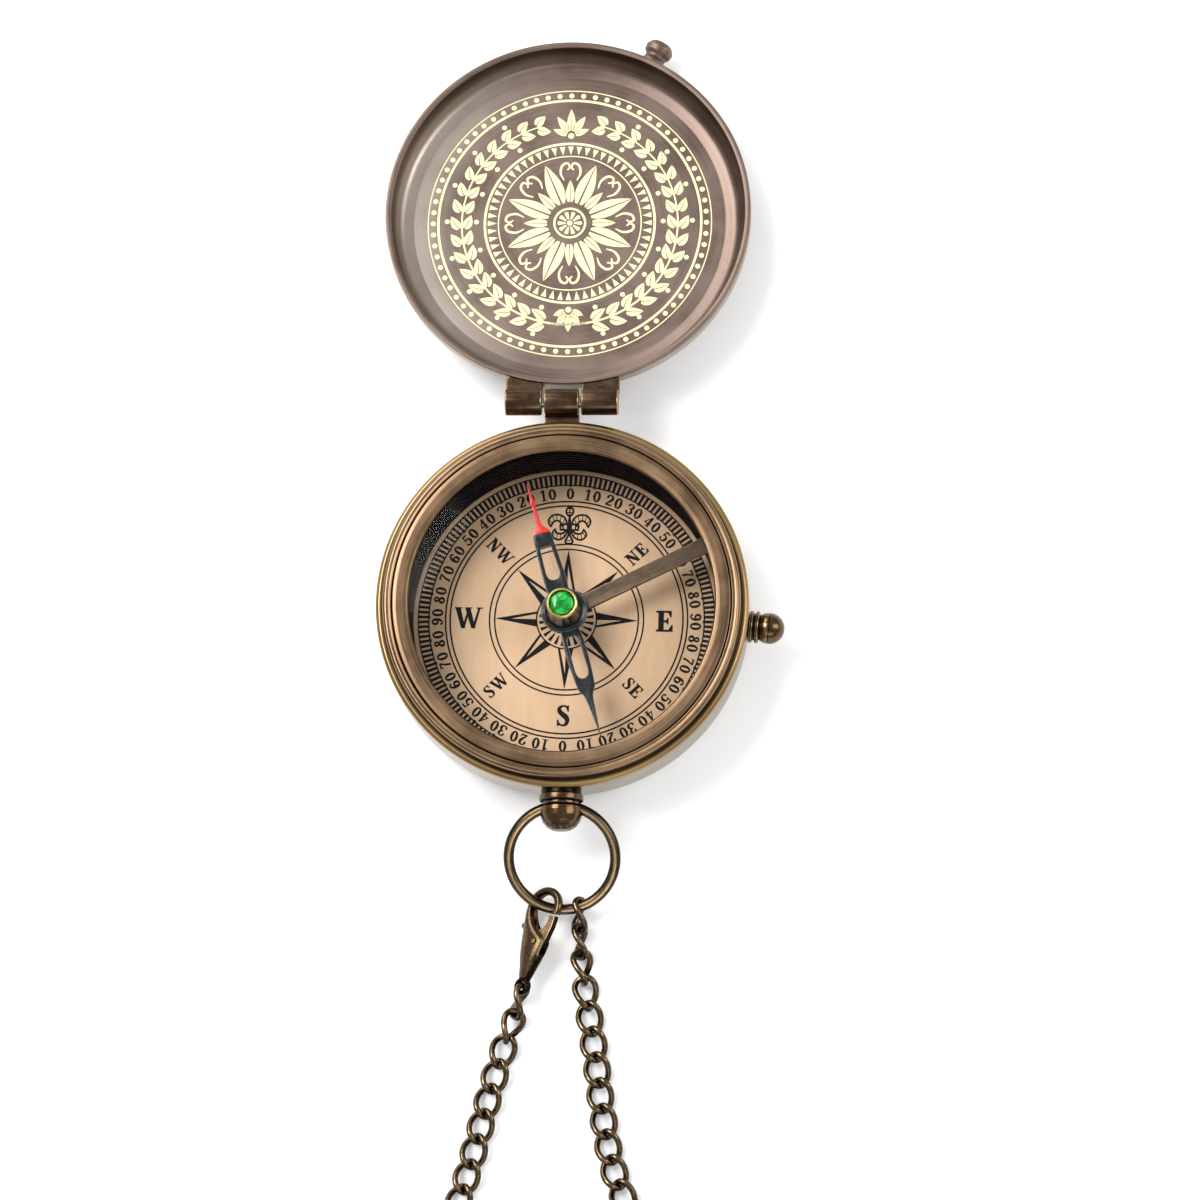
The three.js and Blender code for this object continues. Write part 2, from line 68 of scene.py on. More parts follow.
# ---------------------------------------------------------------- camera
CAM_AT = (60.553, -216.534, 987.015)
CAM_X = (0.99845919, 0.00909719, -0.05474013)
CAM_Y = (0.00299786, 0.97618653, 0.21691213)
CAM_Z = (0.05540987, -0.21674201, 0.97465514)
cam_data = bpy.data.cameras.new("camera")
cam_data.sensor_fit = "HORIZONTAL"
cam_data.sensor_width = 36.0
cam_data.lens = 224.72
cam_data.clip_start = 0.01
cam_data.clip_end = 20.0
camera = bpy.data.objects.new("camera", cam_data)
bpy.context.scene.collection.objects.link(camera)
camera.matrix_world = Matrix((
    (CAM_X[0], CAM_Y[0], CAM_Z[0], CAM_AT[0] * MM),
    (CAM_X[1], CAM_Y[1], CAM_Z[1], CAM_AT[1] * MM),
    (CAM_X[2], CAM_Y[2], CAM_Z[2], CAM_AT[2] * MM),
    (0, 0, 0, 1)))
bpy.context.scene.camera = camera


# ---------------------------------------------------------------- mesh helpers
def mesh_piece(name, verts, faces, mat, body, node=(), loc=None, wear_and_painted_light=None, angle=35, xform=None, slot=None):
    """A named mesh from millimetres. loc is each point in the piece's own frame and wear how rubbed it is,
    with a painted highlight in some high values and painted shade in the values below zero; both kept as attributes for
    the materials."""
    v = np.asarray(verts, float).reshape(-1, 3)
    own = v if loc is None else np.asarray(loc, float).reshape(-1, 3)
    if xform is not None:
        m = np.array(xform)
        v = v @ m[:3, :3].T + m[:3, 3]
    me = bpy.data.meshes.new(name)
    me.from_pydata((v * MM).tolist(), [], [list(map(int, f)) for f in faces])
    me.update()
    a = me.attributes.new("loc", "FLOAT_VECTOR", "POINT")
    a.data.foreach_set("vector", own.astype(np.float32).ravel())
    w = me.attributes.new("wear_and_painted_light", "FLOAT", "POINT")
    w.data.foreach_set("value", (np.zeros(len(v)) if wear_and_painted_light is None else np.asarray(wear_and_painted_light, float)).astype(np.float32))
    bm = bmesh.new()
    bm.from_mesh(me)
    bmesh.ops.recalc_face_normals(bm, faces=bm.faces)
    bm.to_mesh(me)
    bm.free()
    me.polygons.foreach_set("use_smooth", [True] * len(me.polygons))
    me.set_sharp_from_angle(angle=math.radians(angle))
    ob = bpy.data.objects.new(name, me)
    bpy.context.scene.collection.objects.link(ob)
    if mat is not None:
        me.materials.append(mat)
    if body:
        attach(ob, body)
    if node:
        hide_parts(*([node] if isinstance(node, str) else node))
    return ob


def rounded(points, seg=5, closed=True):
    """Profile with its corners rounded: [(r, z, radius, wear)] to [(r, z, wear)]."""
    out, n = [], len(points)
    for i, (x, y, rad, wear_and_painted_light) in enumerate(points):
        if rad <= 0 or (not closed and i in (0, n - 1)):
            out.append((x, y, wear_and_painted_light))
            continue
        p, a, b = np.array([x, y]), np.array(points[i - 1][:2]), np.array(points[(i + 1) % n][:2])
        u, v = a - p, b - p
        lu, lv = np.linalg.norm(u), np.linalg.norm(v)
        u, v = u / lu, v / lv
        ang = math.acos(max(-1, min(1, float(u @ v))))
        if ang > math.pi - 0.02:
            out.append((x, y, wear_and_painted_light))
            continue
        d = min(rad / math.tan(ang / 2), 0.48 * lu, 0.48 * lv)
        r = d * math.tan(ang / 2)
        h = u + v
        c = p + h / np.linalg.norm(h) * (r / math.sin(ang / 2))
        s, e = p + u * d - c, p + v * d - c
        a0 = math.atan2(s[1], s[0])
        da = math.atan2(e[1], e[0]) - a0
        da = (da + math.pi) % (2 * math.pi) - math.pi
        for k in range(seg + 1):
            t = k / seg
            out.append((c[0] + r * math.cos(a0 + da * t), c[1] + r * math.sin(a0 + da * t),
                        wear_and_painted_light * math.sin(math.pi * t) if wear_and_painted_light > 0 else wear_and_painted_light))
    return out


def lathe(profile, seg=192, closed=True, a0=0.0, a1=2 * math.pi):
    """Vertices, faces and wear of a turned solid about +Z, from [(r, z, wear)]."""
    full = abs(a1 - a0 - 2 * math.pi) < 1e-9
    n, cols = len(profile), seg if full else seg + 1
    r = np.array([p[0] for p in profile])
    z = np.array([p[1] for p in profile])
    w = np.array([p[2] for p in profile])
    V, W, idx = [], [], np.zeros((n, cols), int)
    ang = a0 + (a1 - a0) * np.arange(cols) / seg
    for i in range(n):
        if r[i] < 1e-6:
            idx[i, :] = len(V)
            V.append((0, 0, z[i]))
            W.append(w[i])
        else:
            idx[i, :] = len(V) + np.arange(cols)
            V += list(zip(r[i] * np.cos(ang), r[i] * np.sin(ang), np.full(cols, z[i])))
            W += [w[i]] * cols
    F = []
    for i in range(n if closed else n - 1):
        j = (i + 1) % n
        for k in range(seg):
            q = [idx[i, k], idx[i, (k + 1) % cols], idx[j, (k + 1) % cols], idx[j, k]]
            q = [q[m] for m in range(4) if q[m] != q[m - 1]]
            if len(q) > 2:
                F.append(q)
    if not full:
        F.append([idx[i, 0] for i in range(n)])
        F.append([idx[i, cols - 1] for i in range(n)][::-1])
    return np.array(V, float), F, np.array(W, float)


def merge(*parts):
    """Several (verts, faces, wear) as one."""
    V, F, W, at = [], [], [], 0
    for v, f, w in parts:
        V.append(v)
        W.append(w)
        F += [[i + at for i in q] for q in f]
        at += len(v)
    return np.vstack(V), F, np.concatenate(W)


def moved(part, matrix):
    v, f, w = part
    m = np.array(matrix)
    return v @ m[:3, :3].T + m[:3, 3], f, w


def radial(ang, z):
    """Matrix that lays a part turned about +Z along a radial line of the case."""
    c, s = math.cos(ang), math.sin(ang)
    return np.array([[0, s, c, 0], [0, -c, s, 0], [1, 0, 0, z], [0, 0, 0, 1.0]])


def curve_plate(outline, holes, z0, z1, bevel=0.05, res=2):
    """A flat plate with eased edges, by Blender's filled curve."""
    cu = bpy.data.curves.new("plate", "CURVE")
    cu.dimensions = "2D"
    cu.fill_mode = "BOTH"
    cu.extrude = (z1 - z0) / 2 - bevel
    cu.bevel_depth = bevel
    cu.bevel_resolution = res
    cu.offset = -bevel
    for loop in [outline] + list(holes):
        sp = cu.splines.new("POLY")
        sp.points.add(len(loop) - 1)
        for p, (x, y) in zip(sp.points, loop):
            p.co = (x, y, 0, 1)
        sp.use_cyclic_u = True
    ob = bpy.data.objects.new("plate", cu)
    bpy.context.scene.collection.objects.link(ob)
    dg = bpy.context.evaluated_depsgraph_get()
    me = bpy.data.meshes.new_from_object(ob.evaluated_get(dg))
    bm = bmesh.new()
    bm.from_mesh(me)
    bmesh.ops.remove_doubles(bm, verts=bm.verts, dist=1e-4)
    bm.verts.index_update()
    V = np.array([v.co for v in bm.verts]) + [0, 0, (z0 + z1) / 2]
    F = [[v.index for v in f.verts] for f in bm.faces]
    bm.free()
    bpy.data.meshes.remove(me)
    bpy.data.objects.remove(ob)
    bpy.data.curves.remove(cu)
    return V, F, np.zeros(len(V))


def bevelled_box(lo, hi, bevel=0.08, seg=2):
    bm = bmesh.new()
    bmesh.ops.create_cube(bm, size=1.0)
    lo, hi = np.array(lo, float), np.array(hi, float)
    for v in bm.verts:
        v.co = Vector(lo + (np.array(v.co) + 0.5) * (hi - lo))
    bmesh.ops.bevel(bm, geom=list(bm.edges), offset=bevel, segments=seg, profile=0.5, affect="EDGES")
    bm.verts.index_update()
    V = np.array([v.co for v in bm.verts])
    F = [[v.index for v in f.verts] for f in bm.faces]
    bm.free()
    return V, F, np.zeros(len(V))


def boolean(ob, cutters, op="DIFFERENCE"):
    """ob minus the cutters, applied; the cutters are removed. Attributes follow."""
    for c in cutters:
        m = ob.modifiers.new("cut", "BOOLEAN")
        m.operation = op
        m.solver = "EXACT"
        m.object = c
    bpy.context.view_layer.update()
    dg = bpy.context.evaluated_depsgraph_get()
    me = bpy.data.meshes.new_from_object(ob.evaluated_get(dg))
    ob.modifiers.clear()
    ob.data = me
    for c in cutters:
        bpy.data.objects.remove(c)
    me.polygons.foreach_set("use_smooth", [True] * len(me.polygons))
    me.set_sharp_from_angle(angle=math.radians(35))
    return ob


# ---------------------------------------------------------------- flat artwork
def ccw(poly):
    a = 0.0
    for i in range(len(poly)):
        x0, y0 = poly[i - 1]
        x1, y1 = poly[i]
        a += x0 * y1 - x1 * y0
    return list(poly) if a > 0 else list(poly)[::-1]


def union2d(polys):
    """Overlapping outlines as one flat triangulation: (points, triangles)."""
    vs, fs = [], []
    for p in polys:
        p = ccw(p)
        fs.append(list(range(len(vs), len(vs) + len(p))))
        vs += [Vector((float(x), float(y))) for x, y in p]
    out = geometry.delaunay_2d_cdt(vs, [], fs, 1, 1e-5)
    V = np.array([[v.x, v.y] for v in out[0]])
    F = [list(f) for f, o in zip(out[2], out[5]) if len(o)]
    return V, F


def smooth_line(points, per=8, closed=False):
    """Catmull-Rom line through the points; extra columns, such as width, come along."""
    P = np.array(points, float)
    n = len(P)
    if n == 2 and not closed:
        return P
    out = []
    for i in range(n if closed else n - 1):
        p0 = P[(i - 1) % n] if closed or i > 0 else 2 * P[0] - P[1]
        p1, p2 = P[i], P[(i + 1) % n]
        p3 = P[(i + 2) % n] if closed or i + 2 < n else 2 * P[-1] - P[-2]
        for k in range(per):
            t = k / per
            out.append(0.5 * ((2 * p1) + (p2 - p0) * t + (2 * p0 - 5 * p1 + 4 * p2 - p3) * t * t
                              + (3 * p1 - p0 - 3 * p2 + p3) * t ** 3))
    if not closed:
        out.append(P[-1])
    return np.array(out)


def stroke(points, per=8, smooth=True, caps=True, closed=False):
    """Polygons of a pen stroke: points are (x, y, width)."""
    P = smooth_line(points, per, closed) if smooth else np.array(points, float)
    polys, n = [], len(P)
    for i in range(n if closed else n - 1):
        a, b = P[i], P[(i + 1) % n]
        d = b[:2] - a[:2]
        l = np.linalg.norm(d)
        if l < 1e-6:
            continue
        m = np.array([-d[1], d[0]]) / l
        polys.append([tuple(a[:2] + m * a[2] / 2), tuple(a[:2] - m * a[2] / 2),
                      tuple(b[:2] - m * b[2] / 2), tuple(b[:2] + m * b[2] / 2)])
    inner = range(n) if closed or caps else range(1, n - 1)
    for i in inner:
        x, y, w = P[i][:3]
        if w > 0.012:
            polys.append([(x + w / 2 * math.cos(t), y + w / 2 * math.sin(t)) for t in np.linspace(0, 2 * math.pi, 10, endpoint=False) + 0.1])
    return polys


def bar(x0, y0, x1, y1):
    return [(x0, y0), (x1, y0), (x1, y1), (x0, y1)]


def loop2d(cx, cy, rx, ry, wx, wy, n=30):
    """An oval ring, wx thick at its sides and wy at top and bottom."""
    polys = []
    for i in range(n):
        q = []
        for t, s in ((i, 1), (i + 1, 1), (i + 1, -1), (i, -1)):
            a = 2 * math.pi * t / n
            q.append((cx + (rx + s * wx / 2) * math.cos(a), cy + (ry + s * wy / 2) * math.sin(a)))
        polys.append(q)
    return polys


class Flat:
    """Collects thin printed shapes and makes them one closed solid each, z0 to z1."""

    def __init__(self):
        self.parts = []

    def add(self, V, F, z0, z1):
        V = np.asarray(V, float)
        n = len(V)
        if not len(F):
            return
        edges = {}
        for f in F:
            for i in range(len(f)):
                a, b = f[i - 1], f[i]
                edges[(a, b)] = edges.get((a, b), 0) + 1
        sides = [(a, b) for (a, b) in edges if (b, a) not in edges]
        P = np.vstack([np.c_[V, np.full(n, z1)], np.c_[V, np.full(n, z0)]])
        Q = [list(f) for f in F] + [[i + n for i in f][::-1] for f in F] + [[b, a, a + n, b + n] for a, b in sides]
        used = sorted({i for q in Q for i in q})
        new = {o: k for k, o in enumerate(used)}
        self.parts.append((P[used], [[new[i] for i in q] for q in Q], np.zeros(len(used))))

    def polys(self, polys, z0, z1):
        V, F = union2d(polys)
        self.add(V, F, z0, z1)

    def ring(self, r0, r1, z0, z1, seg=256):
        p = [(r0, z0, 0), (r1, z0, 0), (r1, z1, 0), (r0, z1, 0)]
        self.parts.append(lathe(p, seg))

    def make(self):
        return merge(*self.parts)


def place(V, x, y, rot, scale=1.0, flip=False):
    """2-D points scaled, turned by rot and moved."""
    V = np.asarray(V, float) * scale
    if flip:
        V = V * [-1, 1]
    c, s = math.cos(rot), math.sin(rot)
    return np.c_[V[:, 0] * c - V[:, 1] * s + x, V[:, 0] * s + V[:, 1] * c + y]


# ---------------------------------------------------------------- node helpers
class Nodes:
    """Short words for building a shader."""

    def __init__(self, name):
        self.mat = bpy.data.materials.new(name)
        self.mat.use_nodes = True
        self.t = self.mat.node_tree
        self.t.nodes.clear()
        self.out = self.t.nodes.new("ShaderNodeOutputMaterial")
        self.b = self.t.nodes.new("ShaderNodeBsdfPrincipled")
        self.t.links.new(self.b.outputs[0], self.out.inputs[0])

    def new(self, kind, **props):
        n = self.t.nodes.new(kind)
        for k, v in props.items():
            setattr(n, k, v)
        return n

    def put(self, socket, value):
        if isinstance(value, bpy.types.NodeSocket):
            self.t.links.new(value, socket)
        elif value is not None:
            if hasattr(socket.default_value, "__len__") and not hasattr(value, "__len__"):
                value = [value] * len(socket.default_value)
            if hasattr(socket.default_value, "__len__") and len(socket.default_value) == 4 and len(value) == 3:
                value = (*value, 1.0)
            socket.default_value = value

    def set(self, **sockets):
        for k, v in sockets.items():
            self.put(self.b.inputs[k.replace("_", " ")], v)

    def attr(self, name):
        n = self.new("ShaderNodeAttribute", attribute_name=name)
        return n.outputs["Vector"] if name == "loc" else n.outputs["Fac"]

    def xyz(self, vec):
        n = self.new("ShaderNodeSeparateXYZ")
        self.put(n.inputs[0], vec)
        return n.outputs[0], n.outputs[1], n.outputs[2]

    def vec(self, x=0.0, y=0.0, z=0.0):
        n = self.new("ShaderNodeCombineXYZ")
        for s, v in zip(n.inputs, (x, y, z)):
            self.put(s, v)
        return n.outputs[0]

    def m(self, op, a, b=None, c=None, clamp=False):
        n = self.new("ShaderNodeMath", operation=op, use_clamp=clamp)
        for s, v in zip(n.inputs, (a, b, c)):
            if v is not None:
                self.put(s, v)
        return n.outputs[0]

    def vm(self, op, a, b=None, scale=None):
        n = self.new("ShaderNodeVectorMath", operation=op)
        self.put(n.inputs[0], a)
        if b is not None:
            self.put(n.inputs[1], b)
        if scale is not None:
            self.put(n.inputs["Scale"], scale)
        return n.outputs["Value"] if op in ("LENGTH", "DOT_PRODUCT", "DISTANCE") else n.outputs[0]

    def noise(self, vec, scale=1.0, detail=3.0, rough=0.5, w=None, color=False):
        n = self.new("ShaderNodeTexNoise", noise_dimensions="4D" if w is not None else "3D")
        self.put(n.inputs["Vector"], vec)
        self.put(n.inputs["Scale"], scale)
        self.put(n.inputs["Detail"], detail)
        self.put(n.inputs["Roughness"], rough)
        if w is not None:
            self.put(n.inputs["W"], w)
        return n.outputs["Color" if color else "Fac"]

    def spread(self, v, lo, hi, a=0.0, b=1.0):
        """v from lo..hi to a..b, clamped and eased."""
        n = self.new("ShaderNodeMapRange", interpolation_type="SMOOTHSTEP", clamp=True)
        for s, x in zip(n.inputs, (v, lo, hi, a, b)):
            self.put(s, x)
        return n.outputs[0]

    def mix(self, fac, a, b, blend="MIX"):
        n = self.new("ShaderNodeMix", data_type="RGBA", blend_type=blend, clamp_factor=True)
        self.put(n.inputs[0], fac)
        self.put(n.inputs[6], a)
        self.put(n.inputs[7], b)
        return n.outputs[2]

    def ramp(self, fac, *stops):
        n = self.new("ShaderNodeValToRGB")
        e = n.color_ramp.elements
        while len(e) < len(stops):
            e.new(0.5)
        for el, (p, c) in zip(e, stops):
            el.position = p
            el.color = (*c, 1.0)
        self.put(n.inputs[0], fac)
        return n.outputs[0]

    def bump(self, height, strength=0.2, distance=0.00005, normal=None):
        n = self.new("ShaderNodeBump")
        self.put(n.inputs["Strength"], strength)
        self.put(n.inputs["Distance"], distance)
        self.put(n.inputs["Height"], height)
        if normal is not None:
            self.put(n.inputs["Normal"], normal)
        return n.outputs[0]


def srgb(r, g, b):
    """0-255 screen values to linear."""
    return tuple(((v / 255) / 12.92 if v / 255 <= 0.04045 else ((v / 255 + 0.055) / 1.055) ** 2.4) for v in (r, g, b))


# ---------------------------------------------------------------- materials
def own_mm(k, cad):
    """The point in the piece's own frame, in millimetres."""
    if cad:
        tc = k.new("ShaderNodeTexCoord")
        return k.vm("SCALE", tc.outputs["Object"], scale=1000.0)
    return k.attr("loc")


def metal(name, tone, dark, edge, rough=(0.26, 0.46), brush="none", cut=0.5, patina=0.22, cad=False, seed=0.0, dirt_and_shade=0.0, streak=0.35, wall_reflection=None, side_highlight=None, mottle=1.0):
    """Aged, lacquered metal: patina clouds, brushing along its making, rubbed edges, pits. It also paints light:
    highlights and shade through the wear values, a lighter colour on outer walls as a painted reflection, and a painted
    highlight on one side.
    """
    k = Nodes(name)
    p = own_mm(k, cad)
    x, y, z = k.xyz(p)
    if brush == "turned":
        r = k.m("SQRT", k.m("ADD", k.m("MULTIPLY", x, x), k.m("MULTIPLY", y, y)))
        inv = k.m("DIVIDE", 1.0, k.m("MAXIMUM", r, 0.2))
        u, v = k.m("MULTIPLY", x, inv), k.m("MULTIPLY", y, inv)
        fine = k.noise(k.vec(k.m("MULTIPLY", u, 3.0), k.m("MULTIPLY", v, 3.0), k.m("ADD", k.m("MULTIPLY", r, 14.0), k.m("MULTIPLY", z, 11.0))), 1.0, 4.0, 0.65, w=seed)
        broad = k.noise(k.vec(k.m("MULTIPLY", u, 1.2), k.m("MULTIPLY", v, 1.2), k.m("ADD", k.m("MULTIPLY", r, 3.1), k.m("MULTIPLY", z, 2.3))), 1.0, 3.0, 0.5, w=seed + 3)
    elif brush == "x":
        fine = k.noise(k.vec(k.m("MULTIPLY", x, 0.7), k.m("MULTIPLY", y, 13.0), k.m("MULTIPLY", z, 13.0)), 1.0, 4.0, 0.65, w=seed)
        broad = k.noise(p, 0.9, 3.0, 0.5, w=seed + 3)
    else:
        fine = k.noise(p, 5.5, 4.0, 0.6, w=seed)
        broad = k.noise(p, 0.8, 3.0, 0.5, w=seed + 3)
    cloud = k.noise(p, patina, 4.0, 0.55, w=seed + 7)
    speck = k.noise(p, 3.2, 3.0, 0.6, w=seed + 11)
    age = k.m("ADD", k.m("MULTIPLY", cloud, 0.6), k.m("MULTIPLY", broad, 0.4))
    col = k.mix(k.spread(age, 0.34, 0.62), dark, tone)
    col = k.mix(k.m("MULTIPLY", k.spread(fine, 0.3, 0.72), streak), col, edge)
    col = k.mix(k.m("MULTIPLY", k.spread(speck, 0.62, 0.74), 0.35 * mottle), col, tuple(c * 0.35 for c in dark))
    # outer walls past a radius take a lighter colour: a painted reflection
    if wall_reflection is not None:
        wall = k.spread(r, wall_reflection[0] - 0.1, wall_reflection[0] + 0.25)
        wall = k.m("MULTIPLY", wall, k.spread(k.m("ADD", z, k.m("MULTIPLY", cloud, 0.8)), wall_reflection[2], wall_reflection[3]))
        col = k.mix(k.m("MULTIPLY", wall, wall_reflection[4]), col, wall_reflection[1])
    # a ring of floor and fillet on the -x side, below a height, is lightened: a painted highlight
    if side_highlight is not None:
        side = k.m("MULTIPLY", k.m("SUBTRACT", k.spread(r, side_highlight[0], side_highlight[1]), k.spread(r, side_highlight[1] + 0.9, side_highlight[1] + 1.6)), k.m("MULTIPLY", k.spread(k.m("MULTIPLY", u, -1.0), 0.0, 0.9), k.m("SUBTRACT", 1.0, k.spread(z, side_highlight[4], side_highlight[4] + 0.3))))
        col = k.mix(k.m("MULTIPLY", side, side_highlight[3]), col, side_highlight[2])
    if not cad:
        # wear above zero lightens toward the edge colour: rubbed edges, and on some pieces a painted highlight
        w = k.attr("wear_and_painted_light")
        rub_and_painted_light = k.spread(k.m("MULTIPLY", w, k.m("ADD", 0.45, k.m("MULTIPLY", k.noise(p, 1.1, 4.0, 0.6, w=seed + 17), 1.1))), 0.25, 0.8)
        col = k.mix(rub_and_painted_light, col, edge)
        # wear below zero darkens toward near black: dirt in hollows, and on most pieces painted shade on sides,
        # undersides and gaps
        if dirt_and_shade > 0:
            dirt_and_shade_mask = k.spread(k.m("MULTIPLY", w, -1.0), 0.1, 0.9)
            col = k.mix(k.m("MULTIPLY", dirt_and_shade_mask, dirt_and_shade), col, tuple(c * 0.2 for c in dark))
    ro = k.m("ADD", k.spread(k.m("ADD", k.m("MULTIPLY", fine, 0.5), k.m("MULTIPLY", cloud, 0.5)), 0.3, 0.7, rough[0], rough[1]),
             k.spread(speck, 0.62, 0.74, 0.0, 0.12))
    k.set(Base_Color=col, Metallic=1.0, Roughness=ro)
    h = k.m("ADD", k.m("MULTIPLY", fine, cut), k.m("MULTIPLY", k.spread(speck, 0.6, 0.8), -0.5))
    k.set(Normal=k.bump(h, 0.22, 0.00003))
    return k.mat


# the bezel's outer face gets a lighter olive gold: painted reflection
BRONZE = metal("bronze", srgb(122, 97, 75), srgb(80, 59, 45), srgb(166, 139, 106), (0.26, 0.42), "turned", dirt_and_shade=0.85, streak=0.45, mottle=1.5, wall_reflection=(24.1, srgb(154, 126, 76), 0, 0.1, 0.7))
BRONZE_X = metal("bronze_hinge", srgb(94, 74, 60), srgb(56, 40, 30), srgb(170, 142, 102), (0.2, 0.32), "x", 0.2, seed=2.0, dirt_and_shade=0.8, streak=0.14)
# the cup's bronze is given a pale grey: a painted reflection of the white floor on its outer wall
CUP_PAINTED_REFLECTION = metal("cup_painted_floor_reflection", srgb(164, 158, 149), srgb(142, 135, 126), srgb(190, 172, 138), (0.22, 0.36), "turned", seed=4.0)
# the lid's outer wall is lightened (painted reflection) and the west part of its floor ring and fillet is lightened
# (painted highlight)
LID = metal("bronze_lid", srgb(120, 105, 99), srgb(96, 81, 76), srgb(142, 120, 98), (0.36, 0.5), "turned", 0.7, seed=5.0, dirt_and_shade=0.7, wall_reflection=(24.5, srgb(176, 168, 156), 12.5, 13.1, 0.85), side_highlight=(15.5, 22.5, srgb(184, 173, 163), 0.7, 16.4))
AGED = metal("bronze_aged", srgb(72, 54, 39), srgb(43, 31, 22), srgb(198, 170, 128), (0.17, 0.3), "none", 0.3, patina=0.6, seed=6.0, dirt_and_shade=0.9, streak=0.2, mottle=0.5)
STUD = metal("bronze_stud", srgb(112, 94, 85), srgb(82, 66, 58), srgb(150, 128, 108), (0.4, 0.56), "none", patina=0.6, seed=14.0, dirt_and_shade=0.9)
BALL = metal("bronze_ball", srgb(84, 64, 45), srgb(54, 39, 28), srgb(172, 144, 104), (0.13, 0.25), "none", 0.3, patina=0.5, seed=8.0, dirt_and_shade=0.95, streak=0.2, mottle=0.6)
LEVER = metal("lever_bronze", srgb(84, 67, 55), srgb(62, 50, 41), srgb(152, 130, 108), (0.36, 0.5), "x", patina=0.5, seed=9.0, dirt_and_shade=0.95)
BRASS = metal("brass", srgb(214, 184, 112), srgb(176, 140, 80), srgb(240, 220, 160), (0.18, 0.32), "turned", seed=10.0)
BRASS_CAD = metal("brass_inside", srgb(200, 166, 98), srgb(150, 116, 62), srgb(232, 206, 146), (0.22, 0.38), cad=True, patina=0.6)
STEEL_CAD = metal("steel_inside", srgb(170, 168, 164), srgb(112, 110, 106), srgb(214, 212, 208), (0.22, 0.38), cad=True, patina=0.6)
BRONZE_CAD = metal("bronze_inside", srgb(130, 106, 82), srgb(92, 72, 54), srgb(190, 156, 104), (0.3, 0.45), cad=True, patina=0.5)


def liner_mat():
    k = Nodes("liner_lacquer")
    p = own_mm(k, False)
    x, y, z = k.xyz(p)
    streak = k.noise(k.vec(k.m("MULTIPLY", x, 0.25), k.m("MULTIPLY", y, 0.25), k.m("MULTIPLY", z, 6.0)), 1.0, 4.0, 0.6)
    blot = k.noise(p, 0.35, 3.0, 0.5, w=2.0)
    col = k.mix(k.spread(blot, 0.4, 0.7), srgb(24, 23, 28), srgb(64, 42, 36))
    col = k.mix(k.m("MULTIPLY", k.spread(streak, 0.5, 0.75), 0.3), col, srgb(98, 68, 56))
    k.set(Base_Color=col, Metallic=1.0, Roughness=k.spread(streak, 0.3, 0.7, 0.42, 0.55), Normal=k.bump(streak, 0.06, 0.00002))
    k.b.inputs["Specular Tint"].default_value = (0.16, 0.15, 0.17, 1)
    return k.mat


def dial_mat():
    """Satin copper face with fine upright brushing and small marks."""
    k = Nodes("dial_copper")
    p = own_mm(k, False)
    x, y, z = k.xyz(p)
    fine = k.noise(k.vec(k.m("MULTIPLY", x, 16.0), k.m("MULTIPLY", y, 0.55), z), 1.0, 4.0, 0.65)
    broad = k.noise(k.vec(k.m("MULTIPLY", x, 0.8), k.m("MULTIPLY", y, 0.16), z), 1.0, 2.0, 0.5, w=4.0)
    mark = k.noise(p, 2.3, 3.0, 0.6, w=6.0)
    col = k.mix(k.spread(broad, 0.3, 0.7), srgb(231, 188, 150), srgb(237, 196, 159))
    col = k.mix(k.m("MULTIPLY", k.spread(fine, 0.4, 0.75), 0.2), col, srgb(214, 172, 136))
    col = k.mix(k.m("MULTIPLY", k.spread(mark, 0.66, 0.76), 0.35), col, srgb(168, 124, 92))
    k.set(Base_Color=col, Metallic=0.2, Roughness=k.spread(fine, 0.3, 0.7, 0.4, 0.52), Normal=k.bump(fine, 0.1, 0.00002))
    return k.mat


def ink_mat():
    k = Nodes("dial_ink")
    p = own_mm(k, False)
    n = k.noise(p, 6.0, 3.0, 0.6)
    k.set(Base_Color=k.mix(k.spread(n, 0.35, 0.7), srgb(6, 7, 10), srgb(18, 18, 22)), Metallic=0.0,
          Roughness=k.spread(n, 0.3, 0.7, 0.5, 0.65), Normal=k.bump(n, 0.1, 0.00002))
    k.b.inputs["Specular IOR Level"].default_value = 0.15
    return k.mat


def cream_mat():
    """Cream print: opaque, slightly uneven, thin at a few pinholes."""
    k = Nodes("cream_print")
    p = own_mm(k, False)
    n = k.noise(p, 1.4, 4.0, 0.6)
    pin = k.noise(p, 7.0, 2.0, 0.5, w=3.0)
    col = k.mix(k.spread(n, 0.3, 0.7), srgb(243, 236, 186), srgb(234, 226, 172))
    col = k.mix(k.m("MULTIPLY", k.spread(pin, 0.7, 0.78), 0.5), col, srgb(206, 192, 144))
    k.set(Base_Color=col, Metallic=0.0, Roughness=k.spread(n, 0.3, 0.7, 0.42, 0.6), Normal=k.bump(n, 0.1, 0.00002))
    return k.mat


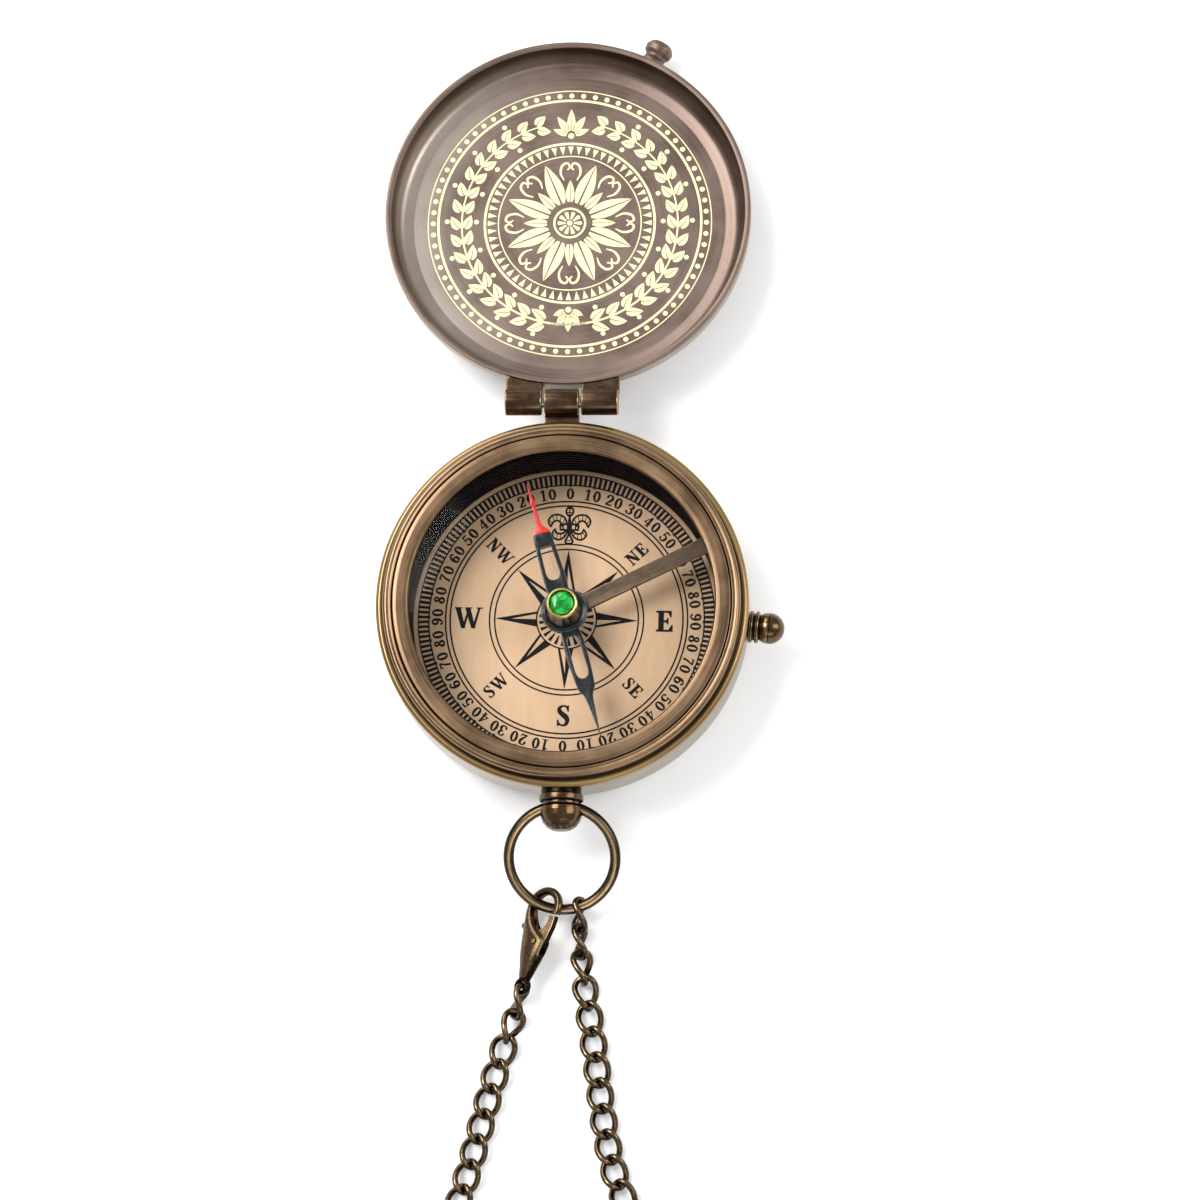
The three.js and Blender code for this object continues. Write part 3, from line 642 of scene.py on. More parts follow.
def needle_mat(red):
    """Gloss black steel; beyond the shoulder of the north arm it is dipped in red."""
    k = Nodes("needle_enamel" if red else "black_enamel")
    p = own_mm(k, False)
    x, y, z = k.xyz(p)
    n = k.noise(p, 4.0, 3.0, 0.6)
    black = k.mix(k.spread(n, 0.4, 0.75), srgb(8, 10, 13), srgb(28, 32, 36))
    # wear lightens the top edges, grey on the black and pink on the red: a painted highlight
    w = k.spread(k.attr("wear_and_painted_light"), 0.35, 0.9)
    black = k.mix(k.m("MULTIPLY", w, 0.85), black, srgb(150, 158, 160))
    col = black
    if red:
        line = k.m("ADD", x, k.m("MULTIPLY", k.noise(p, 1.6, 2.0, 0.5, w=5.0), 0.5))
        paint = k.mix(k.spread(n, 0.35, 0.7), srgb(222, 20, 26), srgb(244, 62, 58))
        paint = k.mix(k.m("MULTIPLY", w, 0.35), paint, srgb(255, 150, 140))
        col = k.mix(k.spread(line, 11.35, 11.55), black, paint)
    k.set(Base_Color=col, Metallic=0.0, Roughness=k.spread(n, 0.3, 0.7, 0.12, 0.28), Normal=k.bump(n, 0.14, 0.00003))
    k.b.inputs["Coat Weight"].default_value = 0.12
    k.b.inputs["Coat Roughness"].default_value = 0.1
    return k.mat


def jewel_mat():
    k = Nodes("green_stone")
    p = own_mm(k, False)
    v = k.new("ShaderNodeTexVoronoi", feature="F1")
    k.put(v.inputs["Vector"], p)
    k.put(v.inputs["Scale"], 1.5)
    # facet-sized cells in lighter and darker greens: painted sparkle standing in for light off the facets
    tone = k.m("ADD", k.m("MULTIPLY", k.m("FRACT", k.m("MULTIPLY", k.xyz(v.outputs["Color"])[0], 3.0)), 0.7), k.m("MULTIPLY", k.noise(p, 1.2), 0.4))
    col = k.ramp(tone, (0.05, srgb(0, 74, 18)), (0.35, srgb(2, 126, 34)), (0.6, srgb(8, 160, 46)), (0.85, srgb(30, 192, 70)))
    k.set(Base_Color=col, Metallic=0.0, Roughness=k.spread(k.noise(p, 3.0), 0.3, 0.7, 0.05, 0.14), Normal=k.bump(k.noise(p, 2.0), 0.08, 0.00003))
    k.b.inputs["Coat Weight"].default_value = 0.3
    k.b.inputs["Coat Roughness"].default_value = 0.04
    return k.mat


def glass_mat():
    """Clear flat glass: see-through with a gloss that grows to grazing; faint dust."""
    k = Nodes("clear_glass")
    k.t.nodes.remove(k.b)
    p = own_mm(k, False)
    clear = k.new("ShaderNodeBsdfTransparent")
    clear.inputs[0].default_value = (0.97, 0.98, 0.975, 1)
    gloss = k.new("ShaderNodeBsdfGlossy")
    smear = k.noise(p, 0.25, 4.0, 0.6)
    k.put(gloss.inputs["Roughness"], k.spread(smear, 0.35, 0.7, 0.02, 0.09))
    fr = k.new("ShaderNodeFresnel")
    fr.inputs["IOR"].default_value = 1.46
    k.put(fr.inputs["Normal"], k.bump(smear, 0.05, 0.00005))
    dust = k.spread(k.noise(p, 5.0, 2.0, 0.5, w=2.0), 0.72, 0.8, 0.0, 0.02)
    mixer = k.new("ShaderNodeMixShader")
    k.put(mixer.inputs[0], k.m("ADD", k.m("MULTIPLY", fr.outputs[0], 0.14), dust))
    k.t.links.new(clear.outputs[0], mixer.inputs[1])
    k.t.links.new(gloss.outputs[0], mixer.inputs[2])
    k.t.links.new(mixer.outputs[0], k.out.inputs[0])
    return k.mat


LINER, DIAL, INK, CREAM = liner_mat(), dial_mat(), ink_mat(), cream_mat()
NEEDLE, BLACK, JEWEL, GLASS = needle_mat(True), needle_mat(False), jewel_mat(), glass_mat()

# ---------------------------------------------------------------- sizes
CASE_R, CASE_IN, CASE_H, RIM_R = 24.88, 23.7, 10.2, 25.0
LID_R, LID_IN, LID_T, LID_DEPTH, MOUTH_Z = 24.85, 24.05, 5.2, 4.4, 11.85
HINGE_Y, HINGE_Z, BARREL_R = 27.8, 11.0, 1.8
KNOB_ANG, KNOB_Z = math.radians(-5.6), 7.6
LEVER_ANG = math.radians(26)
STUD_ANG = math.radians(-63.6)
NEEDLE_ANG = math.radians(106.5)
OPEN = math.radians(185.7)
BOW_Y, BOW_Z, BOW_R, BOW_WIRE, BOW_ARM, BOW_DROOP = -27.26, 8.4, 7.13, 0.72, 6.85, math.radians(24.3)
TO_OPEN = np.array(Matrix.Translation((0, HINGE_Y, HINGE_Z)) @ Matrix.Rotation(-OPEN, 4, "X") @ Matrix.Translation((0, -HINGE_Y, -HINGE_Z)))
TO_NEEDLE = np.array(Matrix.Rotation(NEEDLE_ANG, 4, "Z"))

# ---------------------------------------------------------------- chain
ROUTE = [
  [-5.29, -50.39, 2.58], [-6.11, -53.66, 1.58], [-7.19, -56.64, 1.14], [-8.18, -59.68, 1.06], [-9.09, -62.75, 1.06], [-9.93, -65.84, 1.06],
  [-10.73, -68.94, 1.06], [-11.53, -72.04, 1.06], [-12.35, -75.13, 1.08], [-13.25, -78.21, 1.09], [-14.22, -81.26, 1.09], [-15.22, -84.30, 1.09],
  [-16.22, -87.34, 1.09], [-17.18, -90.40, 1.08], [-18.04, -93.48, 1.07], [-18.77, -96.60, 1.06], [-19.31, -99.75, 1.06], [-19.61, -102.94, 1.06],
  [-19.62, -106.14, 1.06], [-19.29, -109.32, 1.06], [-18.61, -112.45, 1.06], [-17.53, -115.46, 1.06], [-16.02, -118.28, 1.06], [-14.08, -120.82, 1.06],
  [-11.78, -123.04, 1.06], [-9.19, -124.92, 1.06], [-6.36, -126.42, 1.06], [-3.36, -127.53, 1.06], [-0.24, -128.21, 1.06], [2.96, -128.42, 1.06],
  [6.14, -128.15, 1.06], [9.25, -127.40, 1.06], [12.22, -126.21, 1.06], [15.00, -124.62, 1.06], [17.53, -122.66, 1.06], [19.75, -120.37, 1.06],
  [21.61, -117.76, 1.06], [23.02, -114.89, 1.06], [23.97, -111.84, 1.06], [24.46, -108.68, 1.06], [24.50, -105.48, 1.06], [24.09, -102.31, 1.06],
  [23.22, -99.23, 1.06], [21.89, -96.32, 1.06], [20.11, -93.67, 1.06], [17.91, -91.34, 1.06], [15.39, -89.38, 1.06], [12.60, -87.80, 1.06],
  [9.62, -86.65, 1.06], [6.49, -85.96, 1.06], [3.30, -85.77, 1.06], [0.12, -86.11, 1.06], [-2.97, -86.95, 1.06], [-5.88, -88.26, 1.06],
  [-8.56, -90.01, 1.06], [-10.92, -92.17, 1.06], [-12.89, -94.69, 1.06], [-14.41, -97.50, 1.06], [-15.48, -100.51, 1.06], [-16.08, -103.66, 1.06],
  [-16.18, -106.85, 1.06], [-15.75, -110.02, 1.06], [-14.77, -113.07, 1.06], [-13.28, -115.89, 1.06], [-11.34, -118.44, 1.06], [-9.03, -120.65, 1.06],
  [-6.40, -122.46, 1.06], [-3.50, -123.81, 1.06], [-0.41, -124.62, 1.06], [2.78, -124.85, 1.06], [5.97, -124.53, 1.06], [9.05, -123.69, 1.06],
  [11.96, -122.36, 1.06], [14.60, -120.56, 1.06], [16.87, -118.31, 1.06], [18.69, -115.67, 1.06], [19.99, -112.75, 1.06], [20.76, -109.65, 1.06],
  [20.96, -106.46, 1.06], [20.56, -103.29, 1.12], [19.66, -100.22, 1.87], [18.44, -97.26, 2.81], [17.01, -94.39, 3.14], [15.46, -91.60, 3.14],
  [13.83, -88.84, 3.14], [12.20, -86.08, 3.14], [10.63, -83.29, 2.81], [9.17, -80.44, 1.87], [7.91, -77.50, 1.11], [6.92, -74.46, 1.06],
  [6.18, -71.35, 1.06], [5.62, -68.19, 1.06], [5.16, -65.02, 1.06], [4.75, -61.85, 1.06], [4.30, -58.68, 1.06], [3.81, -55.52, 1.06],
  [3.31, -52.35, 1.06], [2.84, -49.19, 1.11], [2.47, -46.02, 1.33], [2.24, -42.85, 1.71], [2.19, -39.70, 2.30]
]


class Path:
    """Arc-length lookup along a Catmull-Rom curve through the route."""

    def __init__(self, pts):
        self.p = smooth_line(pts, 12)
        d = np.linalg.norm(np.diff(self.p, axis=0), axis=1)
        self.s = np.concatenate([[0], np.cumsum(d)])
        self.total = float(self.s[-1])

    def at(self, s):
        return np.array([np.interp(s, self.s, self.p[:, i]) for i in range(3)])

    def tangent(self, s, h=1.0):
        a, b = self.at(max(0, s - h)), self.at(min(self.total, s + h))
        return (b - a) / np.linalg.norm(b - a)


def chain_link(pitch, wire=0.42, half=1.5, twist=47.0, around=36, section=10):
    """One twisted curb link about the origin, its length along X."""
    a = (pitch + 2 * wire) / 2
    tw = math.radians(twist)
    t = np.linspace(0, 2 * math.pi, around, endpoint=False)
    e = 2.0 / 2.3
    cx = np.sign(np.cos(t)) * np.abs(np.cos(t)) ** e * a
    cy = np.sign(np.sin(t)) * np.abs(np.sin(t)) ** e * half
    al = -tw * cx / a
    C = np.c_[cx, cy * np.cos(al), cy * np.sin(al)]
    T = np.roll(C, -1, 0) - np.roll(C, 1, 0)
    T /= np.linalg.norm(T, axis=1)[:, None]
    N = np.c_[cx * 0.25, cy, cy * 0]
    N = np.c_[N[:, 0], N[:, 1] * np.cos(al), N[:, 1] * np.sin(al)]
    N -= T * np.sum(N * T, axis=1)[:, None]
    N /= np.linalg.norm(N, axis=1)[:, None]
    B = np.cross(T, N)
    ph = np.linspace(0, 2 * math.pi, section, endpoint=False)
    V = (C[:, None] + wire * (np.cos(ph)[None, :, None] * N[:, None] + np.sin(ph)[None, :, None] * B[:, None])).reshape(-1, 3)
    W = np.zeros(around * section)
    F = []
    for i in range(around):
        for j in range(section):
            i2, j2 = (i + 1) % around, (j + 1) % section
            F.append([i * section + j, i2 * section + j, i2 * section + j2, i * section + j2])
    return V, F, W


def make_chain():
    path = Path(ROUTE)
    first, last = 2.1, path.total - 1.03
    n = int(round((last - first) / 3.475)) + 1
    pitch = (last - first) / (n - 1)
    link = chain_link(pitch)
    rolls = np.zeros(n)
    rolls[:3] = (-94, -52, -16)
    rolls[-5:] = (8, 30, 60, 88, 98)
    parts = []
    for i in range(n):
        s = first + i * pitch
        c = path.at(s)
        X = path.tangent(s, pitch * 0.55)
        Y = np.cross([0, 0, 1.0], X)
        Y /= np.linalg.norm(Y)
        Z = np.cross(X, Y)
        r = math.radians(rolls[i])
        Y2, Z2 = Y * math.cos(r) + Z * math.sin(r), Z * math.cos(r) - Y * math.sin(r)
        M = np.eye(4)
        M[:3, 0], M[:3, 1], M[:3, 2], M[:3, 3] = X, Y2, Z2, c
        parts.append(moved(link, M))
    V, F, W = merge(*parts)
    V[:, 2] = np.maximum(V[:, 2], 0.02)
    # tube centres give each point's outward direction: the upper sides are lighter, rubbed and painted highlight, and
    # the rest dark as painted shade
    ctr = V.reshape(-1, 10, 3).mean(axis=1, keepdims=True)
    up = ((V.reshape(-1, 10, 3) - ctr)[:, :, 2] / 0.42).ravel()
    W = np.where(up > 0.85, 0.42, np.where(up < 0.35, -1.0, -0.5 + up * 0.6))
    ob = mesh_piece("chain", V, F, AGED, None, ("chain_left", "chain_right", "chain_coil"), wear_and_painted_light=W, angle=80, slot="chain_links")
    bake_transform(ob)
    return n, pitch, path.total


CHAIN_FACTS = make_chain()

# ---------------------------------------------------------------- case and bezel
V, F, W = lathe(rounded([
    (0, 0.06, 0, 0), (9.0, 0.06, 0, 0), (9.4, 0.0, 0.2, 0), (20.6, 0.0, 0.5, 0.0), (23.2, 0.5, 3.0, 0.1), (24.88, 3.4, 4.2, 0.1), (24.88, CASE_H, 0.12, 0.9),
    (CASE_IN, CASE_H, 0.1, 0.5), (CASE_IN, 3.0, 3.0, 0), (21.6, 0.7, 2.0, 0), (0, 0.7, 0, 0)], 8), 256, closed=False)
cup = mesh_piece("cup", V, F, CUP_PAINTED_REFLECTION, "case", "case_shell", wear_and_painted_light=W, slot="antique_bronze")
V, F, W = moved(lathe([(0, 22.0, 0), (1.0, 22.0, 0), (1.0, 26.5, 0), (0, 26.5, 0)], 32, closed=False), radial(KNOB_ANG, KNOB_Z))
cup = boolean(cup, [mesh_piece("bore", V, F, None, None)])


def refresh(ob, inverse=None):
    """Own-frame coordinates written again after a cut, for points the cut made."""
    me = ob.data
    co = np.zeros(len(me.vertices) * 3)
    me.vertices.foreach_get("co", co)
    co = co.reshape(-1, 3) / MM
    if inverse is not None:
        co = co @ inverse[:3, :3].T + inverse[:3, 3]
    if "loc" not in me.attributes:
        me.attributes.new("loc", "FLOAT_VECTOR", "POINT")
    me.attributes["loc"].data.foreach_set("vector", co.astype(np.float32).ravel())
    if "wear_and_painted_light" not in me.attributes:
        me.attributes.new("wear_and_painted_light", "FLOAT", "POINT")
    return ob


refresh(cup)

V, F, W = lathe(rounded([
    (22.8, 8.9, 0.05, 0), (23.55, 8.9, 0.05, 0), (23.55, 10.3, 0.05, 0), (24.85, 10.3, 0.1, 0.6), (RIM_R, 10.5, 0.12, 0.9),
    (RIM_R, 11.25, 0.25, 1.0), (24.55, 11.62, 0.3, 1.0), (24.0, 11.55, 0.12, -0.9), (23.95, 13.1, 0.3, 0.8), (23.55, 13.42, 0.3, 0.7),
    (23.2, 13.3, 0.1, -0.3), (22.8, 13.38, 0.12, 0.3)], 6), 256)
mesh_piece("bezel", V, F, BRONZE, "case", "bezel_ring", wear_and_painted_light=W, slot="antique_bronze")
V, F, W = lathe(rounded([
    (20.5, 13.0, 0.04, 0), (22.62, 13.0, 0.05, 0), (22.62, 13.42, 0.14, 0.5), (22.1, 13.5, 0.2, 0.3), (21.2, 13.48, 0.2, 0), (20.72, 13.42, 0.15, 0.6), (20.5, 13.2, 0.08, 0.8)], 6), 256)
mesh_piece("retainer", V, F, BRONZE, "case", "crystal_retainer", wear_and_painted_light=W, slot="antique_bronze")
V, F, W = lathe(rounded([(0, 12.2, 0, 0), (22.5, 12.2, 0.1, 0), (22.5, 12.9, 0.1, 0), (0, 12.9, 0, 0)], 3), 160, closed=False)
mesh_piece("glass", V, F, GLASS, "case", "crystal", wear_and_painted_light=W, slot="crystal_glass")

# inner wall: a lacquered band with fine turned steps and the lever's window
steps = [(20.75, 1.3, 0.0, 0), (21.4, 1.3, 0.05, 0), (21.4, 11.5, 0.0, 0), (22.65, 11.5, 0.05, 0), (22.65, 12.1, 0.05, 0)]
zs = np.linspace(12.1, 1.42, 9)
for i, zz in enumerate(zs[:-1]):
    steps += [(20.75, zz, 0.05, 0.2), (20.75, zs[i + 1] + 0.16, 0.03, 0), (20.86, zs[i + 1] + 0.08, 0.03, 0)]
V, F, W = lathe(rounded(steps, 3), 192)
wall = mesh_piece("liner", V, F, LINER, "case", "spacer_ring", wear_and_painted_light=W, slot="dark_liner")
w46 = math.radians(4.6)
wedge = [(r * math.cos(LEVER_ANG + t), r * math.sin(LEVER_ANG + t)) for r, t in ((19.8, -w46), (22.2, -w46), (22.2, w46), (19.8, w46))]
V = np.array([(x, y, z) for z in (4.6, 7.6) for x, y in wedge])
wall = boolean(wall, [mesh_piece("window", V, [[3, 2, 1, 0], [4, 5, 6, 7], [0, 1, 5, 4], [1, 2, 6, 5], [2, 3, 7, 6], [3, 0, 4, 7]], None, None)])
refresh(wall)

V, F, W = lathe(rounded([(1.45, 0.86, 0.03, 0), (20.7, 0.86, 0.03, 0), (20.7, 1.2, 0.04, 0), (1.45, 1.2, 0.06, 0)], 3), 192)
mesh_piece("dial", V, F, DIAL, "case", "dial_plate", wear_and_painted_light=W, slot="copper_dial")

# ---------------------------------------------------------------- dial print
GL = {}


def glyph(name, width, polys):
    GL[name] = (width, polys)


def flat(x0, y0, x1, y1, w0, w1=None):
    """Straight bar with level ends, w wide across x."""
    w1 = w0 if w1 is None else w1
    return [(x0 - w0 / 2, y0), (x0 + w0 / 2, y0), (x1 + w1 / 2, y1), (x1 - w1 / 2, y1)]


def bold(pts, smooth=True):
    return stroke([(x, y, w * 1.2) for x, y, w in pts], smooth=smooth)


glyph("0", 0.67, loop2d(.335, .5, .225, .435, .24, .14))
glyph("1", 0.62, [bar(.22, 0, .43, 1), bar(.07, 0, .58, .08)] + bold([(.07, .8, .07), (.18, .86, .1), (.3, .97, .14)]))
glyph("2", 0.66, bold([(.08, .72, .18), (.12, .87, .13), (.3, .955, .1), (.49, .87, .16), (.53, .7, .21), (.44, .5, .19), (.22, .24, .13), (.08, .07, .1)])
      + [bar(.05, 0, .58, .15), [(.5, .1), (.58, .02), (.62, .3), (.57, .3)]])
glyph("3", 0.64, bold([(.09, .77, .17), (.16, .92, .1), (.3, .955, .09), (.47, .88, .14), (.5, .74, .2), (.41, .58, .14), (.26, .53, .08)])
      + bold([(.26, .53, .08), (.44, .47, .15), (.53, .28, .21), (.45, .1, .15), (.27, .045, .1), (.13, .08, .12), (.08, .2, .17)]))
glyph("4", 0.7, [[(.42, 1), (.03, .33), (.03, .24), (.14, .33), (.46, .87)], bar(.02, .24, .68, .35), bar(.36, 0, .56, 1), bar(.26, 0, .66, .07)])
glyph("5", 0.64, [bar(.14, .86, .56, 1)] + bold([(.18, .93, .1), (.13, .52, .09)], smooth=False)
      + bold([(.13, .5, .09), (.3, .61, .1), (.47, .52, .16), (.53, .32, .21), (.45, .11, .15), (.27, .045, .1), (.13, .09, .12), (.08, .19, .17)]))
six = bold([(.53, .83, .16), (.43, .95, .09), (.28, .9, .12), (.14, .68, .18), (.12, .4, .2)]) + loop2d(.335, .31, .205, .245, .24, .14)
glyph("6", 0.67, six)
glyph("7", 0.64, [bar(.06, .85, .6, 1), [(.06, .68), (.11, .68), (.16, .88), (.06, .95)], [(.6, .9), (.46, .9), (.24, .45), (.16, 0), (.37, 0), (.42, .42)]])
glyph("8", 0.66, loop2d(.33, .74, .155, .19, .2, .13) + loop2d(.33, .27, .205, .21, .24, .14))
glyph("9", 0.67, [[(.67 - x, 1 - y) for x, y in p] for p in six])
glyph("W", 1.32, [flat(.15, 1, .42, 0, .25, .2), flat(.42, 0, .66, .9, .13, .1), flat(.6, 1, .9, 0, .25, .2), flat(.9, 0, 1.16, 1, .13, .1),
                  bar(0, .94, .36, 1), bar(.5, .94, .82, 1), bar(1.02, .94, 1.32, 1)])
glyph("N", .88, [bar(.1, 0, .22, 1), [(.04, 1), (.34, 1), (.78, .14), (.78, 0), (.6, 0), (.12, .84)], bar(.66, 0, .78, 1), bar(-.02, .91, .3, 1), bar(.0, 0, .34, .09), bar(.54, .91, .9, 1)])
glyph("E", .78, [bar(.1, 0, .36, 1), bar(.0, .9, .72, 1), bar(.0, 0, .76, .1), bar(.3, .45, .54, .55),
                 [(.72, 1), (.72, .68), (.67, .68), (.54, .93)], [(.78, 0), (.78, .34), (.73, .34), (.56, .07)], [(.54, .34), (.58, .34), (.58, .66), (.54, .66), (.44, .54), (.44, .46)]])
glyph("S", .64, stroke([(.53, .74, .06), (.46, .91, .1), (.3, .96, .09), (.15, .88, .15), (.12, .74, .2), (.24, .59, .23), (.42, .45, .25), (.5, .28, .21), (.44, .1, .15), (.28, .04, .09), (.13, .1, .1), (.055, .26, .06)])
      + [[(.5, .7), (.57, .68), (.57, 1), (.52, 1), (.44, .9)], [(.09, .3), (.02, .32), (.02, 0), (.08, 0), (.16, .1)]])
GLV = {k: (w, *union2d(p)) for k, (w, p) in GL.items()}


def word(sheet, text, height, x, y, rot, gap=0.12, z0=1.17, z1=1.222):
    """Text centred on x, y, its feet along rot, its letters height tall."""
    total = sum(GLV[c][0] for c in text) + gap * (len(text) - 1)
    at = -total / 2
    for c in text:
        w, V, F = GLV[c]
        sheet.add(place(np.array(V) + [at, -0.5], x, y, rot, height), F, z0, z1)
        at += w + gap


Z0, Z1 = 1.17, 1.222
TURN = math.radians(-1.2)
ink = Flat()
for r, t in ((9.71, .21), (10.42, .21), (15.74, .22), (16.36, .22), (18.62, .19), (20.05, .17)):
    ink.ring(r - t / 2, r + t / 2, Z0, Z1)
for i in range(180):
    a = TURN + math.radians(2 * i)
    c, s = math.cos(a), math.sin(a)
    lo = 18.42 if i % 5 == 0 else 18.6
    ink.add([(lo * c + .18 * s, lo * s - .18 * c), (20.08 * c + .205 * s, 20.08 * s - .205 * c), (20.08 * c - .205 * s, 20.08 * s + .205 * c), (lo * c - .18 * s, lo * s + .18 * c)], [[0, 1, 2, 3]], Z0, Z1 - .001)
for i in range(36):
    b = 10 * i
    val = b if b <= 90 else abs(180 - b) if b <= 270 else 360 - b
    a = math.pi / 2 - math.radians(b) + TURN
    word(ink, str(val), 1.52, 17.45 * math.cos(a), 17.45 * math.sin(a), a - math.pi / 2, 0.16)
for t, h, r, b, flip in (("W", 2.9, 13.25, 270, 0), ("E", 2.9, 13.25, 90, 0), ("S", 2.9, 13.25, 180, 0)):
    a = math.pi / 2 - math.radians(b) + TURN
    word(ink, t, h, r * math.cos(a), r * math.sin(a), TURN)
for t, b, rot in (("NW", 315, -45), ("SW", 225, 45), ("NE", 45, 45), ("SE", 135, -45)):
    a = math.pi / 2 - math.radians(b) + TURN
    word(ink, t, 1.76, 13.05 * math.cos(a), 13.05 * math.sin(a), math.radians(rot) + TURN, 0.1)
for i in range(8):
    a = TURN + math.radians(45 * i)
    tip, base = 9.66, 4.0
    # direction a is the spike's axis; its left side is solid, its right side a line
    solid = [(tip, 0), (base, 1.05), (base, 0.02)]
    line = [(tip, 0), (tip - 2.2, 0.0), (base, -0.74), (base, -1.05)]
    V, F = union2d([solid, line, [(tip, 0.0), (tip - 2.2, -0.02), (tip - 2.2, 0.3)]])
    ink.add(place(V, 0, 0, a), F, Z0, Z1)
ink.ring(3.95, 4.15, Z0, Z1, 96)
for i in range(24):
    a = TURN + math.radians(15 * i + 7.5)
    ink.add(place([(2.45, -.09), (3.7, -.24), (3.7, .24), (2.45, .09)], 0, 0, a), [[0, 1, 2, 3]], Z0, Z1)

# fleur-de-lis at north: x to the side, y outward from the centre
L = 0.28
lily = [bar(-.24, 11.55, .24, 13.9), bar(-.17, 13.8, .17, 14.35)]
lily += loop2d(0, 14.98, .52, .6, L, L)
lily += [bar(-.08, 14.5, .08, 15.4), bar(-.5, 14.78, .5, 14.92), bar(-.35, 15.3, .35, 15.6)]
for sx in (-1, 1):
    m = lambda pts: [(sx * px, py, L) for px, py in pts]
    lily += stroke(m([(.12, 14.35), (.3, 14.55)]))
    lily += stroke(m([(.3, 13.15), (.42, 13.45), (.62, 13.95), (1.15, 14.38), (1.85, 14.52), (2.55, 14.36), (3.0, 13.85), (3.02, 13.35), (2.74, 12.85)]))
    lily += stroke(m([(1.05, 12.95), (1.2, 13.3), (1.5, 13.6), (1.95, 13.68), (2.4, 13.42), (2.62, 13.0), (2.74, 12.85)]))
    for a, b in (((.66, 13.98), (1.08, 13.1)), ((1.22, 14.4), (1.42, 13.5)), ((1.86, 14.5), (1.9, 13.66)), ((2.5, 14.38), (2.24, 13.55)), ((2.98, 13.75), (2.52, 13.25))):
        lily += stroke([(sx * a[0], a[1], .12), (sx * b[0], b[1], .12)], smooth=False)
    lily += stroke(m([(.24, 13.2), (1.28, 13.2), (1.34, 12.82), (1.28, 12.42), (.24, 12.42), (.24, 13.2)]), smooth=False)
    lily += [[(sx * .9 - .1, 12.45), (sx * .9 + .1, 12.45), (sx * .9 + .1, 13.18), (sx * .9 - .1, 13.18)]]
    lily += stroke(m([(.3, 12.25), (.5, 11.7), (.9, 11.28), (1.5, 11.05), (2.1, 11.2), (2.48, 11.65), (2.42, 12.05), (2.08, 12.5)]))
    lily += stroke(m([(.45, 12.35), (.85, 12.0), (1.35, 11.88), (1.8, 11.98), (2.0, 12.25), (2.08, 12.5)]))
    for a, b in (((.62, 11.5), (.9, 12.0)), ((1.2, 11.12), (1.3, 11.88)), ((1.85, 11.1), (1.7, 11.92)), ((2.4, 11.5), (1.98, 12.05))):
        lily += stroke([(sx * a[0], a[1], .12), (sx * b[0], b[1], .12)], smooth=False)
    lily += stroke(m([(.06, 11.75), (.22, 11.45), (.5, 11.0), (.52, 10.75), (.36, 10.55), (.0, 10.5)]))
lily += [bar(-.5, 10.88, .5, 11.0)]
V, F = union2d(lily)
ink.add(place(np.array(V) * [0.93, 1], 0, 0, TURN), F, Z0, Z1)
V, F, W = ink.make()
mesh_piece("dial_print", V, F, INK, "case", wear_and_painted_light=W, slot="needle_black", angle=20)

# ---------------------------------------------------------------- needle
north = [[2.9, 1.45], [3.8, 1.52], [6.0, 1.5], [9.2, 1.35], [10.8, 1.26], [11.5, 1.05],
         [12.1, 0.55], [12.7, 0.34], [14.4, 0.27], [15.2, 0.27], [15.7, 0.38], [16.2, 0.24], [17.4, 0.14], [18.3, 0.1]]
south = [[2.9, 1.25], [3.8, 1.42], [7.2, 1.46], [10.6, 1.24], [11.4, 0.98],
         [12.1, 0.62], [13.4, 0.42], [16.0, 0.2], [17.9, 0.06]]


def hub_arc(a0, a1, n=14):
    return [(3.15 * math.cos(math.radians(a0 + (a1 - a0) * i / n)), 3.15 * math.sin(math.radians(a0 + (a1 - a0) * i / n))) for i in range(n + 1)]


def soft(pts, per=4):
    return [tuple(p) for p in smooth_line(pts, per)]


n1, s1 = soft(north), soft(south)
shape = [(x, -y) for x, y in n1] + [(x, y) for x, y in n1[::-1]] + hub_arc(32, 148) + [(-x, y) for x, y in s1] + [(-x, -y) for x, y in s1[::-1]] + hub_arc(212, 328)
slot_n = [(4.5, 0), (4.6, -.45), (5.0, -.8), (5.6, -.92), (9.1, -.74), (9.2, -.62), (9.2, .62), (9.1, .74), (5.6, .92), (5.0, .8), (4.6, .45)]
slot_s = [(-3.7, .45), (-4.0, .72), (-4.6, .8), (-8.6, .84), (-9.3, .64), (-9.6, .25), (-9.6, -.25), (-9.3, -.64), (-8.6, -.84), (-4.6, -.8), (-4.0, -.72), (-3.7, -.45)]
hole = [(1.75 * math.cos(2 * math.pi * i / 40), 1.75 * math.sin(2 * math.pi * i / 40)) for i in range(40)]
V, F, _ = curve_plate(shape, [hole, slot_n, slot_s], 6.35, 6.63, 0.1, 2)
top = V[:, 2].max()
# the blade's top edges get a painted highlight
W = np.where((V[:, 2] > 6.5) & (V[:, 2] < top - 1e-4), 0.75, 0.0)
mesh_piece("needle", V, F, NEEDLE, "needle", "needle_blade", loc=V, wear_and_painted_light=W, xform=TO_NEEDLE, slot="needle_black", angle=50)
